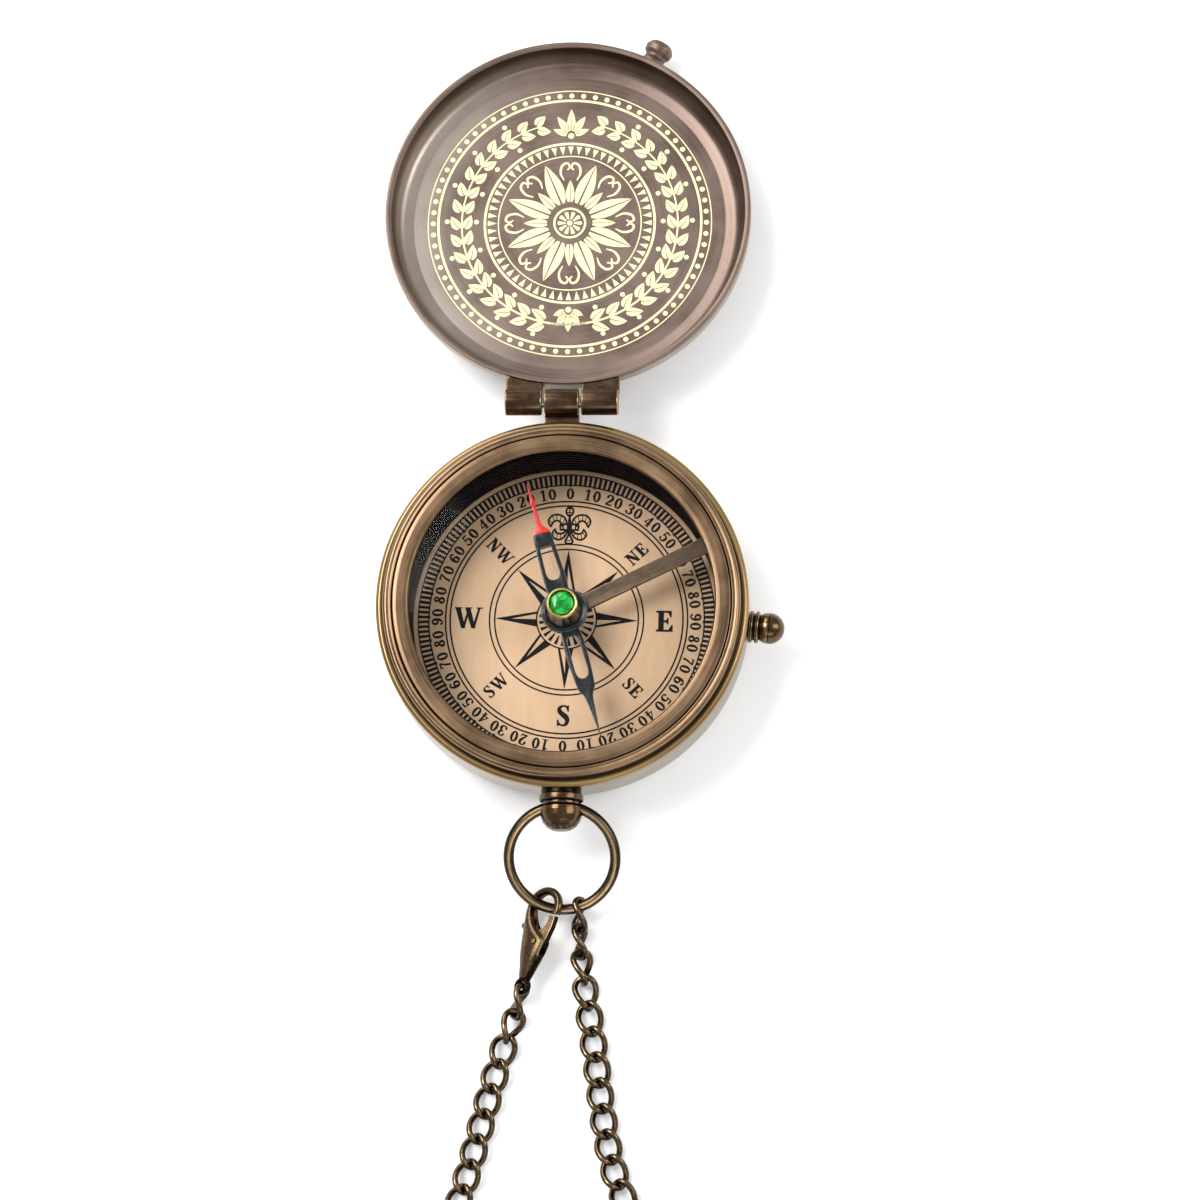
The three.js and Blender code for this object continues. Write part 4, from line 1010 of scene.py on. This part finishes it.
# the cap's rounded edges get a painted highlight
V, F, W = lathe(rounded([(0, 10.85, 0, 0), (1.95, 10.85, 0.08, 0.5), (2.0, 10.6, 0.1, 0), (2.28, 8.6, 0.3, 0), (2.5, 7.25, 0.12, 0), (3.02, 7.08, 0.1, 0.8),
                         (3.05, 6.72, 0.05, 0), (1.6, 6.72, 0, 0), (1.5, 7.2, 0, 0), (0.85, 10.2, 0, 0), (0, 10.6, 0, 0)], 4), 96, closed=False)
mesh_piece("cap", V, F, BLACK, "needle", "needle_cap", wear_and_painted_light=W, xform=TO_NEEDLE, slot="needle_cap_black")
V, F, W = lathe(rounded([(1.74, 10.92, 0, 0), (2.1, 10.92, 0.05, 0), (2.13, 11.4, 0.1, 0.2), (2.08, 11.68, 0.1, 0.6), (1.94, 11.78, 0.06, 0.9), (1.78, 11.76, 0.04, 0.8), (1.7, 11.6, 0.03, 0)], 4), 96)
mesh_piece("collar", V, F, BRASS, "needle", "jewel_collar", wear_and_painted_light=W, xform=TO_NEEDLE, slot="bright_brass")
# brilliant cut: table, star, kite and girdle facets
rows = [(0.82, 11.885, 8, 0.0), (1.22, 11.79, 8, 0.5), (1.52, 11.6, 16, 0.0), (1.66, 11.4, 16, 0.5), (1.62, 10.96, 16, 0.5)]
V, F = [], []
start = []
for r, z, n, off in rows:
    start.append(len(V))
    V += [(r * math.cos(2 * math.pi * (i + off) / n), r * math.sin(2 * math.pi * (i + off) / n), z) for i in range(n)]
F.append(list(range(8)))
for i in range(8):
    F.append([i, start[1] + i, (i + 1) % 8])
    F.append([start[1] + i, start[1] + (i + 1) % 8, (i + 1) % 8])
for i in range(8):
    a, b = start[1] + i, start[1] + (i + 1) % 8
    k0 = start[2] + (2 * i + 1) % 16
    k1, k2 = start[2] + (2 * i + 2) % 16, start[2] + (2 * i + 3) % 16
    F += [[a, k0, k1], [a, k1, b], [b, k1, k2]]
for i in range(16):
    a, b = start[2] + i, start[2] + (i + 1) % 16
    F += [[a, start[3] + i, b], [b, start[3] + i, start[3] + (i + 1) % 16]]
for i in range(16):
    F.append([start[3] + i, start[4] + i, start[4] + (i + 1) % 16, start[3] + (i + 1) % 16])
F.append([start[4] + i for i in range(16)][::-1])
mesh_piece("stone", V, F, JEWEL, "needle", "jewel", xform=TO_NEEDLE, slot="green_jewel", angle=1)

# ---------------------------------------------------------------- lock
ca, sa = math.cos(LEVER_ANG), math.sin(LEVER_ANG)
TO_LEVER = np.array([[ca, -sa, 0, 0], [sa, ca, 0, 0], [0, 0, 1, 0], [0, 0, 0, 1.0]])
strip = curve_plate([(22.6, -1.1), (22.6, 1.1), (.9, 1.1), (1.0, .75), (1.35, .35), (1.45, 0), (1.35, -.35), (1.0, -.75), (.9, -1.1)], [], 5.5, 5.9, 0.09, 2)
V, F, _ = strip
# the top face's edge on the +y side gets a painted highlight; the sides and underside get painted shade
W = np.where((V[:, 2] > 5.72) & (V[:, 2] < 5.9 - 1e-4) & (V[:, 1] > 0), 0.9, np.where(V[:, 2] < 5.9 - 1e-4, -1.0, 0.0))
lever = mesh_piece("lever", V, F, LEVER, None, loc=V, wear_and_painted_light=W, xform=TO_LEVER)
piv = KNOB_ANG + math.pi
gap = 0.9 / 22.65
V, F, W = lathe(rounded([(22.15, 5.5, .06, 0), (23.1, 5.5, .06, 0), (23.1, 5.9, .08, .4), (22.15, 5.9, .08, .4)], 2), 160, a0=piv + gap, a1=piv + 2 * math.pi - gap)
ringp = mesh_piece("lifter_ring", V, F, LEVER, None, wear_and_painted_light=W)
nv, tv = np.array([math.cos(piv), math.sin(piv), 0]), np.array([-math.sin(piv), math.cos(piv), 0])
EYE = np.eye(4)
EYE[:3, 0], EYE[:3, 1], EYE[:3, 2], EYE[:3, 3] = nv, np.cross(tv, nv), tv, nv * 22.65 + [0, 0, 5.7]
eyes = [mesh_piece("eye", *moved(lathe(rounded([(.32, z0, 0, 0), (.55, z0, .06, 0), (.55, z1, .06, 0), (.32, z1, 0, 0)], 2), 28), EYE)[:2], LEVER, None) for z0, z1 in ((-2.3, -.9), (.9, 2.3))]
lever = boolean(lever, [ringp] + eyes, "UNION")
refresh(lever, np.linalg.inv(TO_LEVER))
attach(lever, "lifter")
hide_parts("lock_lifter")

# the groove between its collars is darkened as painted shade; the collar edges are rubbed lighter
V, F, W = moved(lathe(rounded([(1.02, 25.0, 0, 0), (1.9, 24.95, .08, 0), (2.15, 25.15, .1, .7), (2.15, 25.48, .1, .7), (1.82, 25.62, .06, -.8), (1.82, 25.8, .06, -.8),
                               (2.15, 25.92, .1, .7), (2.15, 26.22, .1, .7), (1.95, 26.4, .1, 0), (1.02, 26.4, 0, 0)], 4), 72), radial(KNOB_ANG, KNOB_Z))
mesh_piece("knob_bush_turned", V, F, AGED, "case", "knob_bush", wear_and_painted_light=W, slot="dark_bronze")
# lighter toward its widest part; the groove there is darkened as painted shade
ballp = [(0.62, 26.66, 0), (1.2, 26.63, 0.2)] + [(2.1 * math.sin(t), 27.7 - 2.1 * math.cos(t) * 0.985, 0.5 * math.sin(t) ** 6) for t in np.linspace(math.radians(40), math.radians(84), 10)]
ballp += [(2.09, 27.62, 0.3), (2.05, 27.68, -1.0), (2.05, 27.74, -1.0), (2.1, 27.8, 0.4)]
ballp += [(2.1 * math.sin(t), 27.7 - 2.1 * math.cos(t), 0.0) for t in np.linspace(math.radians(93), math.radians(172), 18)] + [(0, 29.8, 0)]
ballp = [(r, min(z, 29.76), w) for r, z, w in ballp] + []
V, F, W = moved(lathe(ballp + [(0, 27.7, 0), (0.62, 27.7, 0)], 72, closed=True), radial(KNOB_ANG, KNOB_Z))
mesh_piece("knob_turned", V, F, BALL, "knob", "knob_ball", wear_and_painted_light=W, slot="antique_bronze")

# ---------------------------------------------------------------- hinge
ALONG_X = np.array([[0, 0, 1.0, 0], [1, 0, 0, HINGE_Y], [0, 1, 0, HINGE_Z], [0, 0, 0, 1]])


def barrel(x0, x1, bore, r=BARREL_R):
    p = [(bore, x0, .05, 0), (r, x0, .22, .9), (r, x1, .22, .9), (bore, x1, .05, 0)]
    return moved(lathe(rounded(p, 5), 72), ALONG_X)


def disc(r, z0, z1, seg=256):
    return lathe([(0, z0, 0), (r, z0, 0), (r, z1, 0), (0, z1, 0)], seg, closed=False)


# a bevelled plate darkened all over by a negative wear value: painted shadow for the hinge leaves under the knuckles
def grimy(name, lo, hi, bevel, wear_and_painted_light):
    V, F = bevelled_box(lo, hi, bevel)[:2]
    return mesh_piece(name, V, F, BRONZE_X, None, wear_and_painted_light=np.full(len(V), wear_and_painted_light))


b = mesh_piece("leaf", *barrel(-2.66, 1.99, .85)[:2], BRONZE_X, None, wear_and_painted_light=barrel(-2.66, 1.99, .85)[2])
leafs = [grimy("leaf_a", (-2.66, 25.0, 9.25), (1.99, 26.9, 10.1), .12, -.85),
         grimy("leaf_b", (-2.66, 24.4, 6.6), (1.99, 25.75, 10.1), .18, -.85)]
for lf in leafs:
    boolean(lf, [mesh_piece("trim", *disc(25.02, 5, 10.25)[:2], None, None)])
V, F, W = moved(lathe([(0, -3.2, 0), (.85, -3.2, 0), (.85, 2.6, 0), (0, 2.6, 0)], 40, closed=False), ALONG_X)
for lf in leafs:
    boolean(lf, [mesh_piece("bore", V, F, None, None)])
b = boolean(b, leafs, "UNION")
refresh(b)
b.name = "case_knuckle"
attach(b, "case")
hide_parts("hinge_knuckle_case")
for side, x0, x1, bore_end in (("left", -7.95, -3.0, 9.0), ("right", 2.31, 7.3, 7.0)):
    p = [(.85, x0, .05, 0), (BARREL_R, x0, .25, .9), (BARREL_R, x1, .25, .9), (.85, x1, .05, 0)]
    if side == "right":
        p = [(.85, x0, .05, 0), (BARREL_R, x0, .25, .9), (BARREL_R, x1, .25, .9), (0, x1, 0, 0), (0, 7.0, 0, 0), (.85, 7.0, .05, 0)]
    V, F, W = moved(lathe(rounded(p, 5), 72), ALONG_X)
    b = mesh_piece("knuckle_" + side, V, F, BRONZE_X, None, wear_and_painted_light=W)
    leafs = [grimy("leaf_a", (x0, 24.3, 11.9), (x1, 26.9, 12.75), .12, -.4),
             grimy("leaf_b", (x0, 22.7, 11.9), (x1, 25.75, 14.3), .2, -.4)]
    V2, F2, W2 = moved(lathe([(0, x0 - 1, 0), (.85, x0 - 1, 0), (.85, min(x1 + 1, bore_end), 0), (0, min(x1 + 1, bore_end), 0)], 40, closed=False), ALONG_X)
    for lf in leafs:
        boolean(lf, [mesh_piece("trim", *disc(24.99, 11, 16)[:2], None, None)])
        boolean(lf, [mesh_piece("bore", V2, F2, None, None)])
    b = boolean(b, leafs, "UNION")
    refresh(b)
    me = b.data
    co = np.zeros(len(me.vertices) * 3)
    me.vertices.foreach_get("co", co)
    co = co.reshape(-1, 3) / MM
    co = co @ TO_OPEN[:3, :3].T + TO_OPEN[:3, 3]
    me.vertices.foreach_set("co", (co * MM).ravel())
    me.update()
    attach(b, "lid")
    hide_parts("hinge_knuckle_" + side)

# ---------------------------------------------------------------- lid
zt, zi = MOUTH_Z + LID_T, MOUTH_Z + LID_DEPTH
# the lid's inner wall and its fillet are darkened as painted shade; the edges at its mouth are rubbed lighter
V, F, W = lathe(rounded([
    (0, zi, 0, 0), (21.3, zi, 0.6, 0), (23.0, zi - .45, 1.4, 0), (LID_IN, zi - 2.4, 2.2, -.45), (LID_IN, MOUTH_Z + .6, 0, -.8), (LID_IN, MOUTH_Z + .05, 0.14, .6), (LID_IN + .4, MOUTH_Z, .05, .8),
    (LID_R, MOUTH_Z, 0.16, 1.0), (LID_R, zt - 2.6, 2.8, 0), (23.2, zt - .35, 2.2, 0), (20.4, zt, 1.0, 0), (0, zt, 0, 0)], 8), 256, closed=False)
mesh_piece("lid", V, F, LID, "lid", "lid_shell", wear_and_painted_light=W, xform=TO_OPEN, slot="antique_bronze")
V, F, W = moved(lathe(rounded([(0, 24.7, 0, 0), (1.7, 24.7, .05, 0), (1.7, 25.1, .15, 0), (1.42, 25.6, .3, -.5), (1.46, 26.0, .3, -.2), (1.86, 26.45, .3, .2), (1.96, 27.2, .4, .5),
                               (1.5, 27.95, .4, .3), (0, 28.15, 0, 0)], 6), 64, closed=False), radial(STUD_ANG, MOUTH_Z + 1.9))
mesh_piece("stud", V, F, STUD, "lid", "lid_stud", wear_and_painted_light=W, xform=TO_OPEN, slot="antique_bronze")

# ornament printed on the lid's floor: rosette, dentil ring, laurel wreath, bead rim
orn = Flat()


def flipped(V):
    """Drawn as seen with the lid open; the closed lid's y runs the other way."""
    V = np.array(V, float)
    V[:, 1] *= -1
    return V


def leaf(length, width, bend=0.0, slit=0.14, n=9):
    """A pointed leaf along +X in two halves with an open midrib."""
    out = []
    for s in (1, -1):
        t = np.linspace(0, 1, n)
        half = width / 2 * np.sin(np.pi * t ** 0.8) ** 0.9
        cx = t * length
        cy = bend * t * (1 - t) * 4
        rib = np.minimum(slit / 2 * (1 - 0.6 * t), half)
        up = [(x, y + s * h) for x, y, h in zip(cx, cy, half)]
        dn = [(x, y + s * h) for x, y, h in zip(cx, cy, rib)]
        for i in range(n - 1):
            q = [up[i], up[i + 1], dn[i + 1], dn[i]]
            if abs(up[i][1] - dn[i][1]) + abs(up[i + 1][1] - dn[i + 1][1]) > 1e-4:
                q = [p for k2, p in enumerate(q) if k2 == 0 or (abs(p[0] - q[k2 - 1][0]) + abs(p[1] - q[k2 - 1][1]) > 1e-6)]
                if len(q) > 2 and (abs(q[0][0] - q[-1][0]) + abs(q[0][1] - q[-1][1]) > 1e-6):
                    out.append(q)
    return out


OZ0, OZ1 = zi - 0.02, zi + 0.02


def put(polys):
    V, F = union2d(polys)
    if len(F):
        orn.add(flipped(V), F, OZ0, OZ1)


def spun(polys, ang, r=0.0):
    return [[tuple(p) for p in place(np.array(q) + [r, 0], 0, 0, ang)] for q in polys]


for r, t in ((19.35, .16), (17.95, .34), (11.6, .34), (9.75, .16)):
    orn.ring(r - t / 2, r + t / 2, OZ0, OZ1, 192)
for i in range(72):
    a = math.radians(5 * i)
    put([[(18.66 * math.cos(a) + .36 * math.cos(u), 18.66 * math.sin(a) + .36 * math.sin(u)) for u in np.linspace(0, 2 * math.pi, 14, endpoint=False)]])
for i in range(60):
    put(spun([[(9.98, -.0), (11.2, -.38), (11.2, .38)]], math.radians(6 * i)))
# wreath: two sprays that rise from the foot to the crown
for s in (1, -1):
    for i in range(17):
        a = -math.pi / 2 + s * math.radians(12 + 9.3 * i)
        c = np.array([14.75 * math.cos(a), 14.75 * math.sin(a)])
        head = a + s * math.pi / 2
        size = 2.75 - 0.04 * i
        for side, tilt in ((1, 31), (-1, -31)):
            polys = leaf(size, 1.28, 0.16 * side * s)
            rot = head + s * math.radians(tilt) * 1.0
            off = 0.12
            base = c + off * np.array([math.cos(a), math.sin(a)]) * (-side)
            put([[tuple(p) for p in place(np.array(q), base[0], base[1], rot)] for q in polys])
        if i % 2 == 0 and i < 16:
            for rr in (12.75, 16.75):
                b2 = a + s * math.radians(4.6)
                put([[(rr * math.cos(b2) + .34 * math.cos(u), rr * math.sin(b2) + .34 * math.sin(u)) for u in np.linspace(0, 2 * math.pi, 14, endpoint=False)]])
    stem = [(14.75 * math.cos(-math.pi / 2 + s * math.radians(d)), 14.75 * math.sin(-math.pi / 2 + s * math.radians(d)), .3 - d * .0008) for d in np.arange(-9, 163, 3)]
    put(stroke(stem, smooth=False))
# crown and foot: small fans of petals
for cy, up in ((12.75, 1), (-12.6, -1)):
    for d, ln, wd in ((0, 3.6, 1.15), (34, 3.1, 1.05), (-34, 3.1, 1.05), (68, 2.3, .9), (-68, 2.3, .9)):
        if up < 0:
            ln *= 0.8
        rot = up * math.pi / 2 + math.radians(d)
        put([[tuple(p) for p in place(np.array(q) + [.35, 0], 0, cy, rot)] for q in leaf(ln, wd, 0, .1)])
    put([[(.42 * math.cos(u), cy + .42 * math.sin(u)) for u in np.linspace(0, 2 * math.pi, 18, endpoint=False)]])
# rosette: eight broad petals over eight slim ones
for i in range(8):
    a = math.radians(45 * i + 22.5)
    put(spun(leaf(6.6, 2.3, 0, .3, 14), a, 2.5))
    for q in (1, -1):
        curl = stroke([(6.3, q * .9, .16), (7.3, q * 1.35, .3), (8.4, q * 1.15, .34), (8.75, q * .45, .3), (8.2, q * .12, .26), (7.8, q * .4, .2)])
        put(spun(curl, math.radians(45 * i)))
    put(spun(leaf(3.6, 1.15, 0, .14, 10), math.radians(45 * i), 2.7))
orn.ring(1.95, 2.25, OZ0, OZ1, 64)
for i in range(10):
    a = math.radians(36 * i)
    put(spun([[(.55, -.1), (1.55, -.3), (1.7, 0), (1.55, .3), (.55, .1)]], a))
orn.ring(0.0001, 0.38, OZ0, OZ1, 32)
V, F, W = orn.make()
mesh_piece("lid_ornament", V, F, CREAM, "lid", wear_and_painted_light=W, xform=TO_OPEN, slot="antique_bronze", angle=20)


# ---------------------------------------------------------------- pendant and bow
down = -math.pi / 2
BORE = moved(lathe([(0, -4, 0), (1.15, -4, 0), (1.15, 4, 0), (0, 4, 0)], 48, closed=False), np.array([[0, 0, 1.0, 0], [1, 0, 0, BOW_Y], [0, 1, 0, BOW_Z], [0, 0, 0, 1]]))
# the collar's base, in the gap under the bezel, and its groove are darkened: painted shadow
V, F, W = moved(lathe(rounded([(0, 24.9, 0, -1), (2.7, 24.9, 0, -1), (2.72, 25.55, .05, -1.0), (2.95, 25.68, .1, .2), (2.95, 26.38, .12, .3), (2.68, 26.48, .04, -1.0),
                               (2.52, 26.56, .03, -1.0), (2.62, 26.68, .05, .3), (2.6, 26.98, .05, 0), (0, 27.0, 0, 0)], 4), 96, closed=False), radial(down, BOW_Z))
coll = mesh_piece("collar_turned", V, F, AGED, None, wear_and_painted_light=W)
# a lighter band round the widest part is a painted highlight; the darker shoulder and underside are painted shade
V, F, W = moved(lathe(rounded([(0, 27.08, 0, 0), (2.5, 27.08, .05, -.6), (2.8, 27.28, .12, 0), (2.83, 27.8, .3, 0), (2.76, 28.5, .6, .4), (2.47, 29.25, .6, 0), (1.95, 29.88, .6, -.5),
                               (1.2, 30.32, .6, 0), (0, 30.47, 0, 0)], 7), 96, closed=False), radial(down, BOW_Z))
ball = mesh_piece("pendant", V, F, BALL, None, wear_and_painted_light=W)
for ob, node, slot in ((coll, "pendant_collar", "dark_bronze"), (ball, "pendant_ball", "antique_bronze")):
    refresh(boolean(ob, [mesh_piece("bore", BORE[0], BORE[1], None, None)]))
    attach(ob, "case")
    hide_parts(node)


def sweep(C, N, B, ra, rb, power=2.0, section=16, closed=False, wear_and_painted_light=None):
    """Skin over frames C with cross axes N, B and half sizes ra, rb."""
    n = len(C)
    ph = np.linspace(0, 2 * math.pi, section, endpoint=False)
    e = 2.0 / power
    cu = np.sign(np.cos(ph)) * np.abs(np.cos(ph)) ** e
    su = np.sign(np.sin(ph)) * np.abs(np.sin(ph)) ** e
    V = (C[:, None] + cu[None, :, None] * (N * ra[:, None])[:, None] + su[None, :, None] * (B * rb[:, None])[:, None]).reshape(-1, 3)
    F = []
    for i in range(n if closed else n - 1):
        i2 = (i + 1) % n
        for j in range(section):
            j2 = (j + 1) % section
            F.append([i * section + j, i2 * section + j, i2 * section + j2, i * section + j2])
    if not closed:
        F.append(list(range(section))[::-1])
        F.append([(n - 1) * section + j for j in range(section)])
    return V, F, np.zeros(len(V)) if wear_and_painted_light is None else np.repeat(wear_and_painted_light, section)


bow_dir = np.array([0, -math.cos(BOW_DROOP), -math.sin(BOW_DROOP)])
bow_c = np.array([0, BOW_Y, BOW_Z]) + bow_dir * BOW_ARM
t = np.linspace(0, 2 * math.pi, 144, endpoint=False)
rad = np.cos(t)[:, None] * bow_dir + np.sin(t)[:, None] * np.array([1.0, 0, 0])
C = bow_c + BOW_R * rad
Bn = np.tile(np.cross(np.array([1.0, 0, 0]), bow_dir), (144, 1))
V, F, W = sweep(C, rad, Bn, np.full(144, BOW_WIRE), np.full(144, BOW_WIRE), section=20, closed=True)
ph = np.tile(np.linspace(0, 2 * math.pi, 20, endpoint=False), 144)
# a narrow painted highlight along the wire's top and painted shade on the rest
W = 1.7 * np.clip(-np.sin(ph), 0, 1) ** 9 - 0.75
mesh_piece("bow", V, F, AGED, "bow", "bow_ring", wear_and_painted_light=W, angle=80, slot="antique_bronze")

# ---------------------------------------------------------------- lobster clasp
a0 = math.radians(-18.5)
hook_at = bow_c + np.array([1.0, 0, 0]) * BOW_R * math.sin(a0) + bow_dir * BOW_R * math.cos(a0)
Lx = np.array([-0.272, -0.962, -0.02])
Lx /= np.linalg.norm(Lx)
Av = np.cross([0, 0, 1.0], Lx)
Av /= np.linalg.norm(Av)
Bv = -np.cross(Lx, Av)
if Bv[2] < 0:
    Bv = -Bv
rl = math.radians(36)
Vx = Av * math.cos(rl) + Bv * math.sin(rl)
Wx = np.cross(Lx, Vx)
CLASP = np.eye(4)
CLASP[:3, 0], CLASP[:3, 1], CLASP[:3, 2], CLASP[:3, 3] = Lx, Vx, Wx, hook_at

rowsc = []   # centre l, centre v, normal angle, half width in plane, half thickness
for a in np.linspace(-17, 178, 30):
    r = math.radians(a)
    grow = max(0.0, (a - 60) / 118)
    rowsc.append((-2.18 * math.sin(r), 2.18 * math.cos(r), r, 0.54 + 0.04 * grow, 0.54 + 0.26 * grow))
body = [(0.7, -2.12, .6, .88), (1.3, -2.0, .68, .95), (2.4, -1.57, .95, 1.05), (3.3, -1.03, 1.43, 1.12), (4.1, -.42, 1.93, 1.15), (4.7, -.1, 2.2, 1.15),
        (5.8, -.02, 2.03, 1.13), (7.2, -.02, 1.68, 1.05), (8.4, 0, 1.3, .9), (9.6, 0, 1.0, .7), (10.2, 0, .85, .55)]
bd = smooth_line(body, 5)
for l, v, hw, ht in bd:
    rowsc.append((l, v, math.pi, hw, ht))
rowsc = np.array(rowsc)
C = np.c_[rowsc[:, 0], rowsc[:, 1], np.zeros(len(rowsc))]
N = np.c_[-np.sin(rowsc[:, 2]), np.cos(rowsc[:, 2]), np.zeros(len(rowsc))]
Bn = np.tile([0, 0, 1.0], (len(rowsc), 1))
V, F, W = sweep(C, N, Bn, rowsc[:, 3], rowsc[:, 4], power=2.35, section=24)
clasp = mesh_piece("clasp", V, F, AGED, None, wear_and_painted_light=W)
tail = lathe(rounded([(.62, -.5, .2, 0), (1.2, -.5, .3, 0), (1.2, .5, .3, .3), (.62, .5, .2, 0)], 5), 40)
T = np.eye(4)
T[0, 3] = 11.15
Vt, Ft, Wt = moved(tail, T)
eye_hole = mesh_piece("cut", *moved(lathe([(0, -2, 0), (.6, -2, 0), (.6, 2, 0), (0, 2, 0)], 36, closed=False), T)[:2], None, None)
clasp = boolean(clasp, [mesh_piece("tail", Vt, Ft, AGED, None, wear_and_painted_light=Wt)], "UNION")
cuts = [eye_hole, mesh_piece("cut", *bevelled_box((1.6, -1.2, -.62), (6.5, 3.2, .62), .05, 1)[:2], None, None),
        mesh_piece("cut", *bevelled_box((2.3, -3.6, -.52), (4.95, -.9, .52), .05, 1)[:2], None, None)]
clasp = boolean(clasp, cuts)
V, F, W = moved(lathe([(0, -2, 0), (.42, -2, 0), (.42, 2, 0), (0, 2, 0)], 28, closed=False), np.array([[1, 0, 0, 5.0], [0, 1, 0, 0.6], [0, 0, 1, 0], [0, 0, 0, 1.0]]))
clasp = boolean(clasp, [mesh_piece("cut", V, F, None, None)])
refresh(clasp)
me = clasp.data
co = np.zeros(len(me.vertices) * 3)
me.vertices.foreach_get("co", co)
loc = co.reshape(-1, 3) / MM
# the flat faces are lighter and a line along their edges lighter still (painted highlight); the body's sides are darker
# (painted shade)
rub_and_painted_light = np.where(np.abs(loc[:, 2]) > 0.58, 0.25, np.where(loc[:, 0] > 2.0, -0.9, -0.15)) + np.where((np.abs(np.abs(loc[:, 2]) - 0.64) < 0.05) & (loc[:, 0] > 1.5) & (loc[:, 0] < 6.7), 0.7, 0.0)
me.attributes["wear_and_painted_light"].data.foreach_set("value", rub_and_painted_light.astype(np.float32))
me.vertices.foreach_set("co", ((loc @ CLASP[:3, :3].T + CLASP[:3, 3]) * MM).ravel())
me.update()
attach(clasp, "bow")
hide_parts("clasp_body")

gate = [(1.05, 2.38), (2.5, 2.35), (4.2, 2.0), (5.5, 1.5), (6.0, .6), (5.6, -.2), (4.6, -.6), (4.0, -1.3), (3.6, -2.2), (3.3, -2.72), (2.75, -2.72), (2.78, -2.1), (3.2, -1.0), (3.35, 0.0), (3.0, .9), (2.0, 1.3), (1.1, 1.4)]
V, F, _ = curve_plate(gate, [[(5.0 + .46 * math.cos(t), .6 + .46 * math.sin(t)) for t in np.linspace(0, 2 * math.pi, 20, endpoint=False)]], -.44, .44, .08, 2)
# the flat faces are lighter (painted highlight) and the sides dark (painted shade)
W = np.where(np.abs(V[:, 2]) > .37, .6, -.8)
nub = lathe([(0, -.42, 0)] + [(.46 * math.sin(t), -.42 * math.cos(t), .3) for t in np.linspace(.3, math.pi - .3, 9)] + [(0, .42, 0)], 24, closed=False)
NUB = np.array([[1, 0, 0, 3.02], [0, 0, 1, -2.72], [0, 1, 0, 0], [0, 0, 0, 1.0]])
trig = mesh_piece("trigger", V, F, AGED, None, wear_and_painted_light=W)
Vn, Fn, Wn = moved(nub, NUB)
trig = boolean(trig, [mesh_piece("nub", Vn, Fn, AGED, None, wear_and_painted_light=Wn)], "UNION")
refresh(trig)
me = trig.data
co = np.zeros(len(me.vertices) * 3)
me.vertices.foreach_get("co", co)
me.vertices.foreach_set("co", (((co.reshape(-1, 3) / MM) @ CLASP[:3, :3].T + CLASP[:3, 3]) * MM).ravel())
me.update()
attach(trig, "trigger")
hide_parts("clasp_trigger")

# ---------------------------------------------------------------- carried-over CAD nodes
CAD_LOOK = {"pivot_base": BRASS_CAD, "pivot_pin": STEEL_CAD, "lifter_bracket": BRASS_CAD, "lifter_pin": STEEL_CAD, "knob_stem": STEEL_CAD,
            "hinge_pin": STEEL_CAD, "clasp_rivet": BRASS_CAD}
for name, mat in CAD_LOOK.items():
    ob = NODES[name] if not isinstance(NODES[name], str) else bpy.data.objects[NODES[name]]
    ob.data.materials.clear()
    ob.data.materials.append(mat)

# ---------------------------------------------------------------- floor and light
k = Nodes("floor_paper")
tc = k.new("ShaderNodeTexCoord")
n = k.noise(tc.outputs["Object"], 60.0, 4.0, 0.6)
k.set(Base_Color=k.mix(n, (0.93, 0.93, 0.93), (0.97, 0.97, 0.97)), Roughness=k.spread(n, 0.3, 0.7, 0.8, 0.9), Normal=k.bump(n, 0.03, 0.0001))
k.b.inputs["Specular IOR Level"].default_value = 0.1
k.b.inputs["Emission Color"].default_value = (1, 1, 1, 1)
k.b.inputs["Emission Strength"].default_value = 0.15
me = bpy.data.meshes.new("floor")
me.from_pydata([(-2, -2, 0), (2, -2, 0), (2, 2, 0), (-2, 2, 0)], [], [[0, 1, 2, 3]])
me.materials.append(k.mat)
floor = bpy.data.objects.new("floor", me)
bpy.context.scene.collection.objects.link(floor)

world = bpy.data.worlds.new("studio")
bpy.context.scene.world = world
world.use_nodes = True
world.node_tree.nodes["Background"].inputs[0].default_value = (1, 1, 1, 1)
world.node_tree.nodes["Background"].inputs[1].default_value = 0.55


def softbox(name, at, aim, size, power):
    d = bpy.data.lights.new(name, "AREA")
    d.shape = "RECTANGLE"
    d.size, d.size_y = size
    d.energy = power
    ob = bpy.data.objects.new(name, d)
    bpy.context.scene.collection.objects.link(ob)
    ob.location = at
    ob.rotation_euler = (Vector(aim) - Vector(at)).to_track_quat("-Z", "Y").to_euler()
    return ob


softbox("key", (-0.5, 0.26, 0.8), (0, -0.02, 0), (0.46, 0.46), 6.8)
softbox("rim", (-0.5, 0.75, 0.5), (0, -0.02, 0), (0.6, 0.6), 5.0)
softbox("fill", (0.72, 0.1, 0.55), (0, -0.02, 0), (0.4, 0.6), 3.3)
softbox("front", (0.25, -0.85, 0.6), (0, -0.04, 0), (0.6, 0.3), 1.4)
scene = bpy.context.scene
scene.view_settings.view_transform = "Standard"
scene.view_settings.look = "None"
